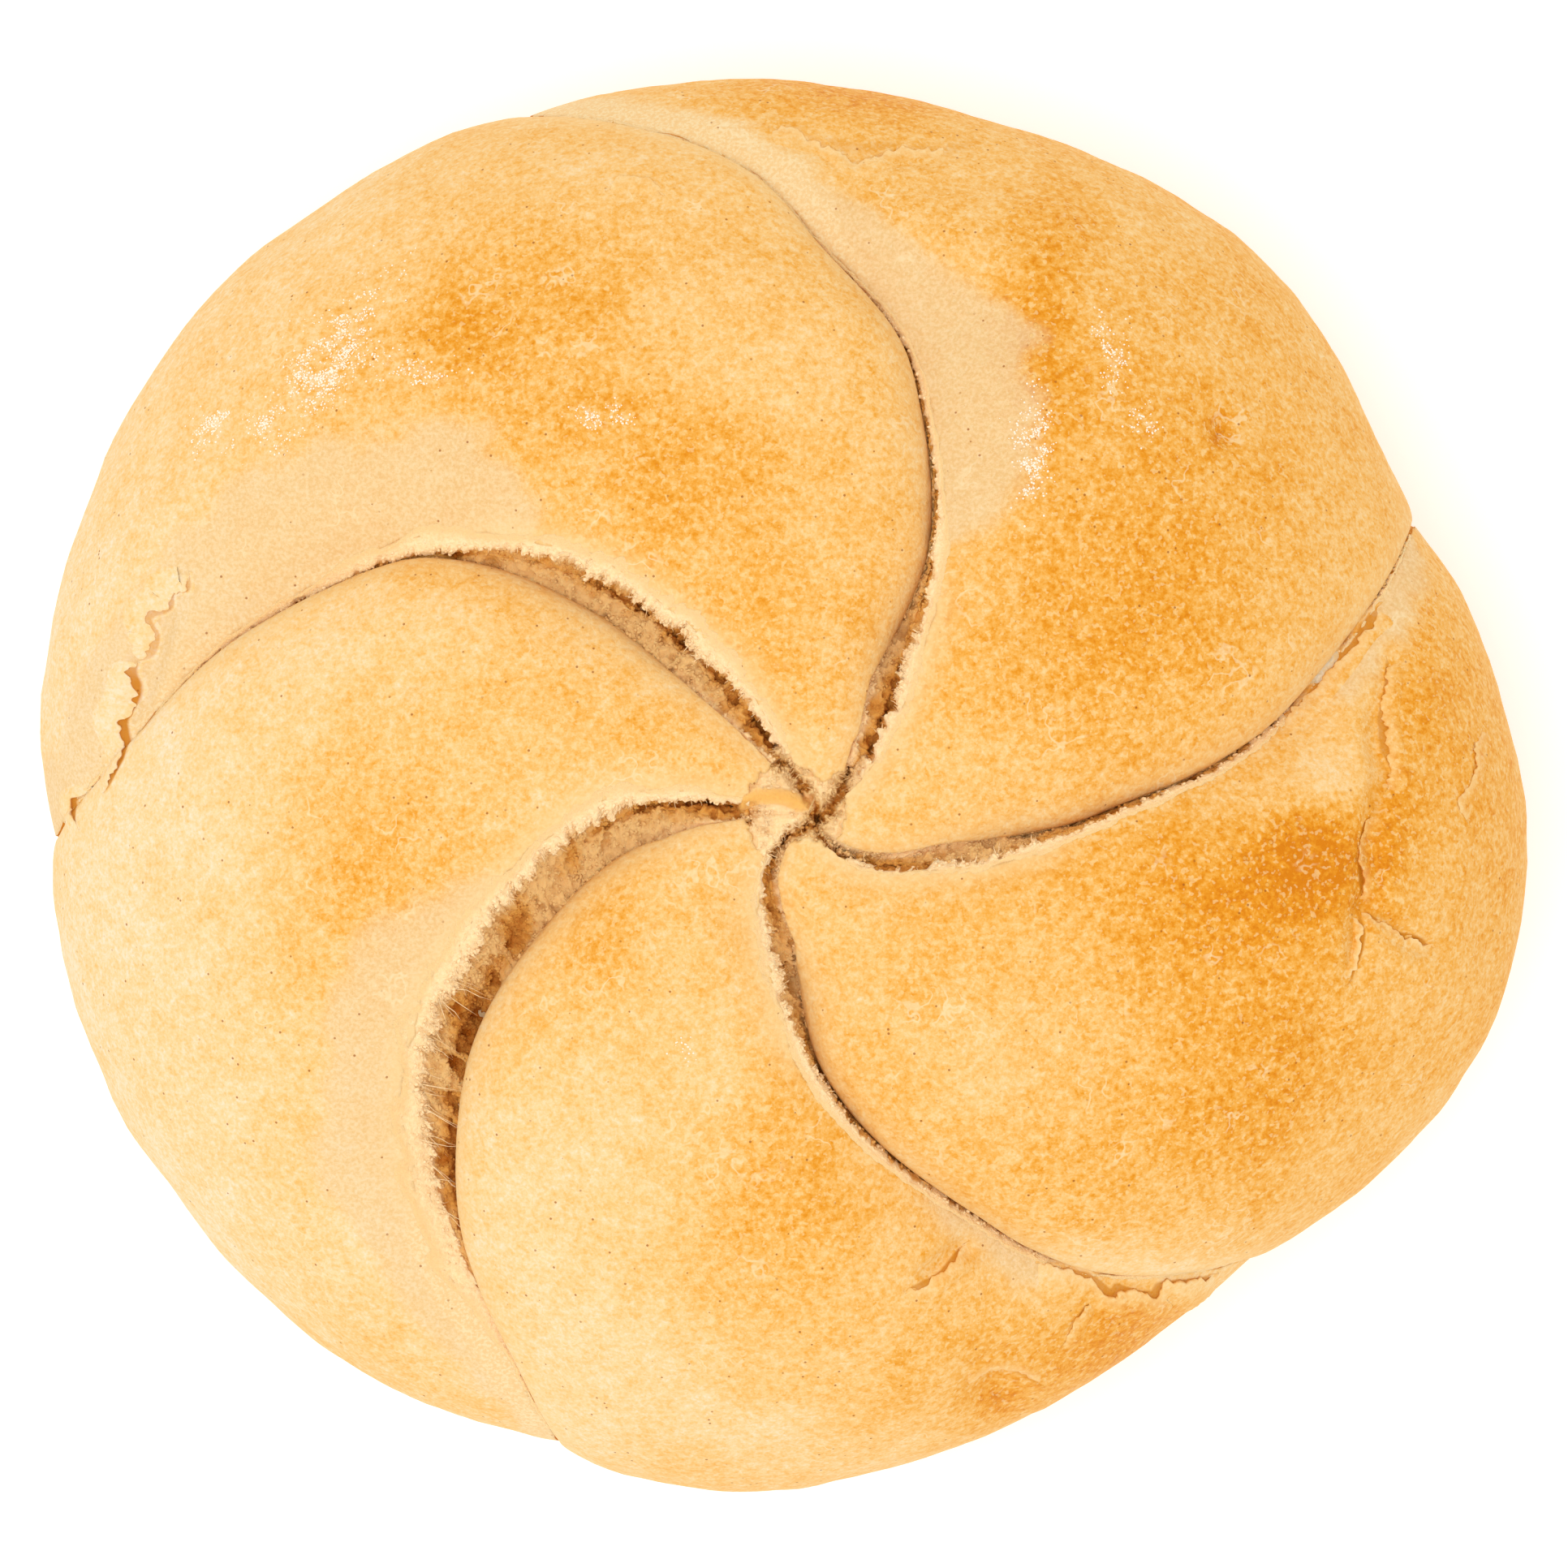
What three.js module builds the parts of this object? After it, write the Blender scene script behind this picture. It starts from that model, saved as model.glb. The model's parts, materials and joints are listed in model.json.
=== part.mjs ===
// A round white bread roll whose top was stamped with a five-armed swirl before baking.
// Five dough petals meet near the middle. Each seam between two petals has torn open in the oven,
// and closes to a fold as it winds out to the rim.
// The roll is one solid of one piece. It stands on its flat foot at z = 0 over the origin, with x
// along its longer side. Seen from above, x is to the right and y is up the page.
import * as THREE from "three";

// Driving dimensions, in millimetres and degrees. A bearing is an angle about the swirl's centre,
// counter-clockwise from +x. A profile is an angle up the side: 90 at the top's middle, 0 at the
// rim, where the roll is widest, and -90 at the edge of the flat foot. A share is a part of the way
// out from the swirl's centre to the rim.
const ROLL_RADIUS = 52.3; // the mean of the outline, before its bulges and flats
const ROLL_HEIGHT = 49;
const RIM_HEIGHT = 19;
const FOOT_SHARE = 0.74; // the flat foot's radius as a share of the outline's
const DOME_ROUNDING = 2.25; // 2 is an ellipse, more is fuller at the shoulder
const STAMP_DIP = { depth: 2.2, radius: 11 }; // how far the stamp left the middle below the dome
const PIT_DEPTH = 4.2; // the bottom of the small pit where the five tips meet, below the dome
const SWIRL_CENTRE = { x: 2.7, y: -2.7 }; // the petals meet off the middle of the outline

// Bulges and flats of the outline, by their bearing.
const BULGES = [
  { at: 348, spread: 20, rise: 3.6 },
  { at: 163, spread: 71, rise: 2.6 },
  { at: 299, spread: 26, rise: -2.1 },
  { at: 82, spread: 22, rise: -2.1 },
  { at: 35, spread: 12, rise: -1.5 },
];

// Each seam winds counter-clockwise as it goes out: its bearings at SEAM_SHARES are its turns.
// open is the torn gap between the two crusts, which closes from one share to another, and lean is
// where its floor lies, from -1 under the torn crust to 1 under the smooth one.
const SEAM_SHARES = [0, 0.1, 0.2, 0.4, 0.6, 0.7, 0.8, 0.9, 1];
const SEAMS = [
  { turns: [-80, -44, -17, -1, 7, 11, 16, 21, 26], open: 1.6, closes: [0.22, 0.5], lean: 0 },
  { turns: [40, 52, 61, 66, 75, 80, 89, 97, 113], open: 2.2, closes: [0.3, 0.56], lean: -0.4 },
  { turns: [121, 125, 129, 135, 146, 155, 164, 174, 182], open: 2.9, closes: [0.42, 0.68], lean: -0.4 },
  { turns: [174, 177, 180, 198, 212, 220, 229, 240, 248], open: 3.1, closes: [0.6, 0.86], lean: 0.4 },
  { turns: [205, 230, 255, 271, 285, 291, 296, 303, 315], open: 1.7, closes: [0.18, 0.5], lean: 0.3 },
];
const SHUT_GAP = 0.6; // what is left of a seam that has closed
const OPEN_DEPTH = 6.5;
const SHUT_DEPTH = 2.4;
const SHALLOW_MIDDLE = { share: 0.35, radius: 9 }; // seams are less deep where the tips meet
const TEAR_RAGGED = 0.35; // how far the torn crust wanders from a smooth line

// A petal falls off towards its seams: on one side a full round shoulder, and on the other a
// longer slope of skin that was pulled thin when the seam opened.
const ROUND_SHOULDER = { drop: 3.6, width: 9 };
const PULLED_SLOPE = { drop: 1.3, width: 6, outerDrop: 3.9, outerWidth: 11.5 };
const SLOPE_WIDENS = [0.4, 0.8]; // the shares between which the slope takes its outer size
const PETAL_CROWN = 1.1; // how far the middle of a wide petal stands over the dome
const WIDE_PETAL = 40;
const RELIEF_THINS_FROM = 0.72; // towards the rim the relief thins, from this share
const RIM_RELIEF = 0.34; // to this part of itself
const RELIEF_ENDS = { starts: -4, gone: -55 }; // and these are the profiles where it fades out

// Folds and cracks in the crust near the rim: an arc between two points, bowed to its left.
const CREASES = [
  { from: [-0.9, 48.4], to: [17.4, 47.0], bow: -2.2, depth: 0.9, width: 1.1 },
  { from: [45.9, 9.3], to: [40.6, -19.4], bow: -1.6, depth: 1.2, width: 1.1 },
  { from: [43.4, -10.6], to: [48.4, -13.0], bow: 0.3, depth: 0.8, width: 1.0 },
  { from: [-45.6, 13.6], to: [-49.4, 4.2], bow: 0.6, depth: 0.9, width: 0.9 },
  { from: [12.4, -36.4], to: [17.8, -33.4], bow: 0.4, depth: 0.7, width: 1.0 },
];
const CREASE_END = 0.4; // the part of its depth that a crease has at its two ends
// Round dents: a thumb's touch, or a bubble that fell in.
const DENTS = [
  { at: [16, -45.0], radius: 2.2, depth: 1.1 },
  { at: [32.3, 25.3], radius: 1.5, depth: 0.9 },
  { at: [-15.6, -31.2], radius: 2.2, depth: 0.5 },
];

// How finely the surface is cut. Rows are rings round the roll, and columns follow the seams.
const TOP_ROWS = 36;
const TOP_ROW_PROFILE = 88.2;
const SIDE_ROWS = 9;
const FOOT_POINTS = 60;
const SHOULDER_STEPS = [0.8, 2.0, 3.9, 6.6]; // in from the round shoulder's crust edge
const SLOPE_STEPS = [6.4, 3.4, 1.3]; // in from the torn crust's edge, the farthest first
const FIELD_COLUMNS = [ // between those two, by how far out the row is
  { upTo: 0.2, columns: 1 },
  { upTo: 0.45, columns: 4 },
  { upTo: 0.75, columns: 7 },
  { upTo: 1, columns: 10 },
];
const EDGES_AT_MOST = 0.74; // the most of a narrow petal that its two edges' columns take
const COLUMNS_SPREAD = { starts: -8, even: -70 }; // the profiles where columns leave the seams
// The places of a petal's columns along a row, from its first seam to the next petal's.
const PLACE = {
  floor: 0,
  smoothWall: 1,
  smoothEdge: 2,
  shoulder: 3,
  field: 6,
  slope: 12,
  tornEdge: 15,
  tornWall: 16,
  petal: 17,
};

const { smoothstep, lerp, clamp, degToRad: radians, radToDeg: degrees } = THREE.MathUtils;
const bell = (distance, width) => Math.exp(-((distance / width) ** 2));
const turnBetween = (a, b) => ((((a - b + 180) % 360) + 360) % 360) - 180;

// A smooth curve through values at the given places (Hermite, with the neighbours' slope).
function curveThrough(places, values, place) {
  const last = places.length - 1;
  const slope = (i) => {
    const before = Math.max(i - 1, 0);
    const after = Math.min(i + 1, last);
    return (values[after] - values[before]) / (places[after] - places[before]);
  };
  const passed = places.findIndex((p) => p > place);
  const start = passed < 0 ? last - 1 : clamp(passed - 1, 0, last - 1);
  const step = places[start + 1] - places[start];
  const t = clamp((place - places[start]) / step, 0, 1);
  const t2 = t * t;
  const t3 = t2 * t;
  return (
    (2 * t3 - 3 * t2 + 1) * values[start] +
    (t3 - 2 * t2 + t) * step * slope(start) +
    (3 * t2 - 2 * t3) * values[start + 1] +
    (t3 - t2) * step * slope(start + 1)
  );
}

// The outline's distance from the swirl's centre on a bearing.
function outlineRadius(bearing) {
  const { x, y } = SWIRL_CENTRE;
  const along = x * Math.cos(radians(bearing)) + y * Math.sin(radians(bearing));
  let radius = -along + Math.sqrt(along ** 2 + ROLL_RADIUS ** 2 - x ** 2 - y ** 2);
  for (const { at, spread, rise } of BULGES) {
    radius += rise * bell(turnBetween(bearing, at), spread);
  }
  return radius;
}

// The share of the way out that a profile lies at.
const shareAt = (profile) =>
  profile >= 0 ? Math.max(Math.cos(radians(profile)), 0) ** (2 / DOME_ROUNDING) : 1;

// A point on the plain body, with its outward normal.
function bodyPoint(bearing, profile) {
  const radius = outlineRadius(bearing);
  const c = Math.abs(Math.cos(radians(profile)));
  const s = Math.abs(Math.sin(radians(profile)));
  const rise = ROLL_HEIGHT - RIM_HEIGHT;
  const foot = FOOT_SHARE * radius;
  let out, z, outward, upward;
  if (profile >= 0) {
    const share = shareAt(profile);
    out = radius * share;
    z = RIM_HEIGHT + rise * s ** (2 / DOME_ROUNDING) - STAMP_DIP.depth * bell(out, STAMP_DIP.radius);
    outward = share ** (DOME_ROUNDING - 1) / radius;
    upward = s ** ((2 * (DOME_ROUNDING - 1)) / DOME_ROUNDING) / rise;
  } else {
    out = foot + (radius - foot) * c;
    z = RIM_HEIGHT * (1 - s);
    outward = c / (radius - foot);
    upward = -s / RIM_HEIGHT;
  }
  const length = Math.hypot(outward, upward);
  return { out, z, outward: outward / length, upward: upward / length };
}

// A seam at a share of the way out: its bearing, its lie against the ray, its gap and its depth.
function seamAt(seam, share) {
  const turnAt = (at) => curveThrough(SEAM_SHARES, seam.turns, at);
  const step = 0.02;
  const inner = Math.max(share - step, 0);
  const outer = Math.min(share + step, 1);
  const turn = turnAt(outer) - turnAt(inner);
  const slant = Math.atan((share * radians(turn)) / (outer - inner));
  const torn = 1 - smoothstep(share, ...seam.closes);
  return {
    bearing: turnAt(share),
    lie: Math.cos(slant),
    gap: lerp(SHUT_GAP, seam.open, torn),
    depth: lerp(SHUT_DEPTH, OPEN_DEPTH, torn),
    torn,
  };
}

// The fall of a quarter-round edge, at a distance in from it.
const roundedFall = (distance, width, drop) =>
  drop * (Math.sqrt(1 - (1 - clamp(distance / width, 0, 1)) ** 2) - 1);

// The crust's height over the plain body, at distances from the petal's two crust edges, on a
// petal as wide as room there.
function petalRelief(fromSmooth, fromTorn, share, room) {
  const half = room / 2;
  const fit = (width) => Math.min(1, half / width);
  const outer = smoothstep(share, ...SLOPE_WIDENS);
  const slope = {
    drop: lerp(PULLED_SLOPE.drop, PULLED_SLOPE.outerDrop, outer),
    width: lerp(PULLED_SLOPE.width, PULLED_SLOPE.outerWidth, outer),
  };
  const falls = [[fromSmooth, ROUND_SHOULDER], [fromTorn, slope]].map(([distance, { drop, width }]) =>
    roundedFall(distance, Math.min(width, half), drop * fit(width)));
  const crown = PETAL_CROWN * Math.sin(Math.PI * clamp(fromSmooth / room, 0, 1));
  return falls[0] + falls[1] + crown * fit(WIDE_PETAL / 2);
}

// The depth of the creases and dents at a place in the plan.
function marksDepth(x, y) {
  let depthHere = 0;
  for (const { from, to, bow, depth, width } of CREASES) {
    const [dx, dy] = [to[0] - from[0], to[1] - from[1]];
    const length = Math.hypot(dx, dy);
    const along = ((x - from[0]) * dx + (y - from[1]) * dy) / length ** 2;
    const t = clamp(along, 0, 1);
    const arc = 4 * t * (1 - t);
    const aside = (dx * (y - from[1]) - dy * (x - from[0])) / length - bow * arc;
    const past = (along - t) * length;
    depthHere += depth * bell(Math.hypot(aside, past), width) * Math.min(1, CREASE_END + arc);
  }
  for (const { at, radius, depth } of DENTS) {
    depthHere += depth * bell(Math.hypot(x - at[0], y - at[1]), radius);
  }
  return depthHere;
}

// How far the torn crust of a seam wanders from its line, from a sum of waves.
const ragged = (seam, out) =>
  TEAR_RAGGED * (Math.sin(1.9 * out + 2.1 * seam) + 0.6 * Math.sin(4.3 * out + 1.3 * seam));

// The point at a height over the plain body. Creases and dents are for the top alone.
function placeOn(bearing, profile, height) {
  const { out, z, outward, upward } = bodyPoint(bearing, profile);
  const cos = Math.cos(radians(bearing));
  const sin = Math.sin(radians(bearing));
  const x = SWIRL_CENTRE.x + out * cos;
  const y = SWIRL_CENTRE.y + out * sin;
  const lift = height - marksDepth(x, y) * clamp(upward + outward / 2, 0, 1);
  return new THREE.Vector3(x + lift * outward * cos, y + lift * outward * sin, z + lift * upward);
}

// One petal's stretch of a row, from the floor of its first seam up to that of the next. Each
// entry has its point, and its place in the row, by which neighbouring rows are joined.
function petalStretch(number, profile, fieldColumns) {
  const [first, next] = [SEAMS[number], SEAMS[(number + 1) % SEAMS.length]];
  const share = shareAt(profile);
  const low = seamAt(first, share);
  const high = seamAt(next, share);
  const start = low.bearing;
  const end = high.bearing + (number + 1 === SEAMS.length ? 360 : 0);
  const out = bodyPoint((start + end) / 2, profile).out;
  // A millimetre across each seam, in degrees. Near the middle the edges' columns draw together.
  const lowStep = degrees(1 / (out * low.lie));
  const highStep = degrees(1 / (out * high.lie));
  const reach =
    (low.gap / 2 + SHOULDER_STEPS.at(-1)) * lowStep + (high.gap / 2 + SLOPE_STEPS[0]) * highStep;
  const tight = Math.min(1, (EDGES_AT_MOST * (end - start)) / reach);
  const fromFirst = (distance) => start + distance * tight * lowStep;
  const fromNext = (distance) => end - distance * tight * highStep;

  const strength =
    lerp(1, RIM_RELIEF, smoothstep(share, RELIEF_THINS_FROM, 1)) *
    smoothstep(profile, RELIEF_ENDS.gone, RELIEF_ENDS.starts);
  const room = (2 * (end - start)) / (lowStep + highStep);
  const crust = (bearing) => {
    const fromSmooth = (bearing - start) / lowStep - (low.gap / 2) * tight;
    const fromTorn = (end - bearing) / highStep - (high.gap / 2) * tight;
    return strength * petalRelief(fromSmooth, fromTorn, share, room);
  };
  const shallow = Math.min(1, SHALLOW_MIDDLE.share + out / SHALLOW_MIDDLE.radius);

  const entries = [];
  const add = (place, bearing, height) => entries.push({ place, bearing, height });
  const addCrust = (place, bearing) => add(place, bearing, crust(bearing));

  const smoothEdge = fromFirst(low.gap / 2);
  const floor = fromFirst((first.lean * low.gap) / 2);
  const lowDepth = low.depth * strength * shallow;
  add(PLACE.floor, floor, crust(smoothEdge) - lowDepth);
  add(PLACE.smoothWall, lerp(floor, smoothEdge, 0.75), crust(smoothEdge) - lowDepth / 2);
  addCrust(PLACE.smoothEdge, smoothEdge);
  SHOULDER_STEPS.forEach((step, i) => addCrust(PLACE.shoulder + i, fromFirst(low.gap / 2 + step)));

  const fieldStart = fromFirst(low.gap / 2 + SHOULDER_STEPS.at(-1));
  const fieldEnd = fromNext(high.gap / 2 + SLOPE_STEPS[0]);
  for (let i = 1; i <= fieldColumns; i++) {
    const t = i / (fieldColumns + 1);
    addCrust(lerp(PLACE.field, PLACE.slope, t), lerp(fieldStart, fieldEnd, t));
  }

  SLOPE_STEPS.forEach((step, i) => addCrust(PLACE.slope + i, fromNext(high.gap / 2 + step)));
  const wander = ragged(number + 1, out) * high.torn;
  const tornEdge = fromNext(high.gap / 2 + wander);
  const nextFloor = fromNext((-next.lean * high.gap) / 2);
  const highDepth = high.depth * strength * shallow;
  addCrust(PLACE.tornEdge, tornEdge);
  add(PLACE.tornWall, lerp(nextFloor, tornEdge, 0.6), crust(tornEdge) - highDepth / 2);

  // Below the rim the seams run out, and the columns spread evenly.
  const spread = 1 - smoothstep(profile, COLUMNS_SPREAD.even, COLUMNS_SPREAD.starts);
  return entries.map(({ place, bearing, height }, i) => {
    const even = lerp(start, end, i / entries.length);
    return {
      place: number * PLACE.petal + place,
      point: placeOn(lerp(bearing, even, spread), profile, height),
    };
  });
}

function rollRow(profile) {
  const across = profile >= 0 ? Math.cos(radians(profile)) : 1;
  const { columns } = FIELD_COLUMNS.find(({ upTo }) => across <= upTo);
  return SEAMS.flatMap((_, number) => petalStretch(number, profile, columns));
}

// The ring of points round the flat foot.
function footRow() {
  const start = SEAMS[0].turns.at(-1);
  return Array.from({ length: FOOT_POINTS }, (_, i) => {
    const t = i / FOOT_POINTS;
    return { place: t * SEAMS.length * PLACE.petal, point: placeOn(start + 360 * t, -90, 0).setZ(0) };
  });
}

// A closed surface made from rings of points, each in order of place.
class Surface {
  positions = [];
  triangles = [];

  addPoint(point) {
    this.positions.push(point.x, point.y, point.z);
    return this.positions.length / 3 - 1;
  }

  addRing(row) {
    const turn = SEAMS.length * PLACE.petal;
    return row.map(({ place, point }) => ({ place: place / turn, index: this.addPoint(point) }));
  }

  // Joins two rings by walking round both, always taking the step whose end comes first.
  join(inner, outer) {
    const at = (ring, i) => ring[i % ring.length].place + Math.floor(i / ring.length);
    const index = (ring, i) => ring[i % ring.length].index;
    let i = 0;
    let j = 0;
    while (i < inner.length || j < outer.length) {
      const innerIsNext = i < inner.length && at(inner, i + 1) <= at(outer, j + 1);
      if (innerIsNext || j >= outer.length) {
        this.triangles.push(index(inner, i), index(outer, j), index(inner, i + 1));
        i += 1;
      } else {
        this.triangles.push(index(inner, i), index(outer, j), index(outer, j + 1));
        j += 1;
      }
    }
  }

  close(ring, point, pointIsAbove) {
    const tip = this.addPoint(point);
    ring.forEach(({ index }, i) => {
      const after = ring[(i + 1) % ring.length].index;
      this.triangles.push(...(pointIsAbove ? [tip, index, after] : [tip, after, index]));
    });
  }

  // The geometry, moved in plan so that its box stands centred over the origin.
  geometry() {
    const geometry = new THREE.BufferGeometry();
    geometry.setAttribute("position", new THREE.Float32BufferAttribute(this.positions, 3));
    geometry.setIndex(this.triangles);
    geometry.computeBoundingBox();
    const centre = geometry.boundingBox.getCenter(new THREE.Vector3());
    geometry.translate(-centre.x, -centre.y, 0);
    geometry.computeVertexNormals();
    return geometry;
  }
}

function rollGeometry() {
  const surface = new Surface();
  const topProfiles = Array.from({ length: TOP_ROWS }, (_, i) =>
    lerp(TOP_ROW_PROFILE, 0, i / (TOP_ROWS - 1)));
  const sideProfiles = Array.from({ length: SIDE_ROWS - 1 }, (_, i) => (-90 * (i + 1)) / SIDE_ROWS);
  const rows = [...topProfiles.map(rollRow), ...sideProfiles.map(rollRow), footRow()];
  const rings = rows.map((row) => surface.addRing(row));
  for (let i = 0; i + 1 < rings.length; i++) {
    surface.join(rings[i], rings[i + 1]);
  }
  const { x, y } = SWIRL_CENTRE;
  surface.close(rings[0], new THREE.Vector3(x, y, ROLL_HEIGHT - STAMP_DIP.depth - PIT_DEPTH), true);
  surface.close(rings.at(-1), new THREE.Vector3(x, y, 0), false);
  return surface.geometry();
}

function bakedCrust() {
  return new THREE.MeshStandardMaterial({
    color: new THREE.Color(0.93, 0.66, 0.3),
    roughness: 0.7,
    metalness: 0,
  });
}

const roll = new THREE.Mesh(rollGeometry(), bakedCrust());
roll.name = "roll";

const part = new THREE.Group();
part.add(roll);
export default part;
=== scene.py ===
"""The looks of a round white bread roll whose top was stamped with a five-armed swirl.

The crust follows the same sizes as the roll's solid, cut much finer. Each seam between two petals
has torn open in the oven and shows a lining of crumb with fibres, and flour lies on the crust.
Sizes are in millimetres until a mesh is made, and the frame is in metres.
"""
import itertools
import json
import math
from dataclasses import dataclass

import bpy
import numpy as np
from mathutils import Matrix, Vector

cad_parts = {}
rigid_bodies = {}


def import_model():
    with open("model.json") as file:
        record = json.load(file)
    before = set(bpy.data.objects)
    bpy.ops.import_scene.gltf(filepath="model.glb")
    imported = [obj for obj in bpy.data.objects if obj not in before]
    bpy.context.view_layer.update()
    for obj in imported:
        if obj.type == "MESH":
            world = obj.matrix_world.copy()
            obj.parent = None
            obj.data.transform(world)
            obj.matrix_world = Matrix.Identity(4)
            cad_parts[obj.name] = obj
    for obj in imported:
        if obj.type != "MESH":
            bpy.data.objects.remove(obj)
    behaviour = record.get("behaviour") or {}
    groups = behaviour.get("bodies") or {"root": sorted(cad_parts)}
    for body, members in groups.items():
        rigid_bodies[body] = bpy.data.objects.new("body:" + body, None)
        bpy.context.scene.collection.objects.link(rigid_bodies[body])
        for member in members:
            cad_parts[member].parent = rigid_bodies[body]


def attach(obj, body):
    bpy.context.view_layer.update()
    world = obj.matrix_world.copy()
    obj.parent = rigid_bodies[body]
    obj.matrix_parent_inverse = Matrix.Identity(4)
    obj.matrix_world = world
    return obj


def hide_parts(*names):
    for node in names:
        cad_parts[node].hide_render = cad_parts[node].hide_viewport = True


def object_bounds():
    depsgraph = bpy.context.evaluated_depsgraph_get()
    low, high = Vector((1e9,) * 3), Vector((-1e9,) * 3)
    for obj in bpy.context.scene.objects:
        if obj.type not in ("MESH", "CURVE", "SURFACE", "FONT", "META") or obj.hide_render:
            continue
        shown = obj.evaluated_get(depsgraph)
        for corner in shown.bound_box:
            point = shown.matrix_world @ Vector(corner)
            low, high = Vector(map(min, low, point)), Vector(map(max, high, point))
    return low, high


bl_info = {
    "name": "Swirl bread roll",
    "version": (1, 0, 0),
    "blender": (4, 5, 0),
    "location": "View3D > Sidebar > Bread roll",
    "description": "Makes the crust, torn crumb and flour of a stamped swirl roll round its solid",
    "category": "Object",
}

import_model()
SOLID_LOW, SOLID_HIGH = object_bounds()
BODY = "root"
NODE = "roll"
MM = 0.001


# Sizes of the body, in millimetres and degrees, as in the solid. A bearing is an angle about the
# swirl's centre. A profile is an angle up the side: 90 at the top's middle, 0 at the rim and -90
# at the foot's edge. A share is a part of the way out from the swirl's centre to the rim.
ROLL_RADIUS = 52.3
ROLL_HEIGHT = 49.0
RIM_HEIGHT = 19.0
FOOT_SHARE = 0.74
DOME_ROUNDING = 2.25
STAMP_DIP_DEPTH = 2.2
STAMP_DIP_RADIUS = 11.0
SWIRL_CENTRE = np.array([2.7, -2.7])
# Bulges and flats of the outline: bearing, spread and rise.
BULGES = [(348, 20, 3.6), (163, 71, 2.6), (299, 26, -2.1), (82, 22, -2.1), (35, 12, -1.5)]

SEAM_SHARES = np.array([0, 0.1, 0.2, 0.4, 0.6, 0.7, 0.8, 0.9, 1])


@dataclass(frozen=True)
class Seam:
    """One arm of the swirl, which winds counter-clockwise on its way out."""

    name: str
    turns: tuple  # its bearings at SEAM_SHARES
    open_gap: float  # between the two crusts where it is torn open
    closes: tuple  # the shares between which it closes
    lean: tuple  # where its floor lies near the middle and at its end: -1 under the torn crust, 1
    # under the smooth one
    fringe: float  # how wide the crumb shows on the torn side
    fringe_ends: tuple  # the shares between which the fringe thins
    bare: float  # how wide it shows on the smooth side, near the middle
    fades: tuple  # the shares between which the shut seam fades to a soft valley
    skin: tuple  # the crescent of pale pulled skin beside it: from share, to share, width
    raw: tuple  # the band of bare dough beside its end, likewise
    strands: tuple = (0, 0)  # the shares between which strands of crumb span it


NO_BAND = (0, 0.1, 0)
SEAMS = [
    Seam("right", (-80, -44, -17, -1, 7, 11, 16, 21, 26),
         1.3, (0.18, 0.42), (-0.7, -0.7), 0.45, (0.3, 0.6), 0.7,
         (0.8, 0.97), (0.78, 1.0, 2.5), NO_BAND),
    Seam("top", (40, 52, 61, 66, 75, 80, 89, 97, 113),
         1.9, (0.2, 0.44), (-0.8, -0.8), 1.0, (0.3, 0.55), 1.0,
         (0.74, 0.86), (0.42, 0.9, 7.5), (0.76, 1.04, 2.2)),
    Seam("upper_left", (121, 125, 129, 135, 146, 155, 164, 174, 182),
         2.5, (0.38, 0.64), (-0.8, -0.9), 1.3, (0.6, 0.74), 0.9,
         (0.74, 0.9), (0.5, 1.02, 8.5), (0.66, 0.98, 0.9)),
    Seam("lower_left", (174, 177, 180, 198, 212, 220, 229, 240, 248),
         3.0, (0.62, 0.9), (-0.9, 1.0), 1.5, (0.84, 0.97), 0.5,
         (0.82, 0.93), (0.42, 1.0, 6.0), (0.8, 1.02, 2.0), (0.48, 0.84)),
    Seam("bottom", (205, 230, 255, 271, 285, 291, 296, 303, 315),
         1.35, (0.18, 0.46), (0.3, 0.2), 0.9, (0.36, 0.6), 0.7,
         (0.8, 0.97), (0.62, 0.9, 1.6), NO_BAND),
]
SEAM_RUNS_OUT = (-16, -2)  # the profiles between which a seam's dark line, and the painted shade on its crust walls, ends
# A seam's gap, fringe and depth where it is shut, and its depth where it is torn open, which the
# crumb fills in part.
SHUT_GAP = 0.22
SHUT_FRINGE = 0.3
SHUT_DEPTH = 2.4
OPEN_DEPTH = 6.5
FADED = 0.2  # what is left of a seam's gap, depth and fringe where it has faded
BARE_NEAR_MIDDLE = (0.1, 0.3)  # the shares between which the crumb on the smooth side ends
CRUST_OVER_FRINGE = 0.75  # how much of the fringe the crust still lies under
# How far the five petals' tips stop short of the swirl's centre, and how pointed they are.
TIPS = (1.8, 2.5, 4.6, 4.5, 1.5)
TIP_POINTS = (0.6, 1.3, 0.4, 0.5, 0.9)
TIP_SINKS = 2.6  # how far the crust drops at a petal's tip
# The rings of the crust lie this much closer in the middle, and grow to full between these radii.
MIDDLE_STEPS = 0.4
MIDDLE_WIDENS = (5, 9)
# A seam's share of its depth at the centre, and how far out it would grow by a whole depth.
SHALLOW_MIDDLE = (0.35, 9.0)
ROUND_DROP, ROUND_WIDTH = 3.6, 9.0  # how far and how wide a petal rounds down to its smooth edge
# How far and how wide it slopes down to its torn edge, near the middle and further out, and the
# shares between which the one slope turns into the other.
SLOPE_INNER = (1.3, 6.0)
SLOPE_OUTER = (3.9, 11.5)
SLOPE_WIDENS = (0.4, 0.8)
PETAL_CROWN = 1.1  # how far a petal's middle bulges, where it is at least this wide
WIDE_PETAL = 40.0
RELIEF_THINS_FROM = 0.72  # the share from which the relief thins, to this much at the rim
RIM_RELIEF = 0.34
RELIEF_STARTS, RELIEF_GONE = -4, -55  # profiles: it is full from the first and gone at the second

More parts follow.
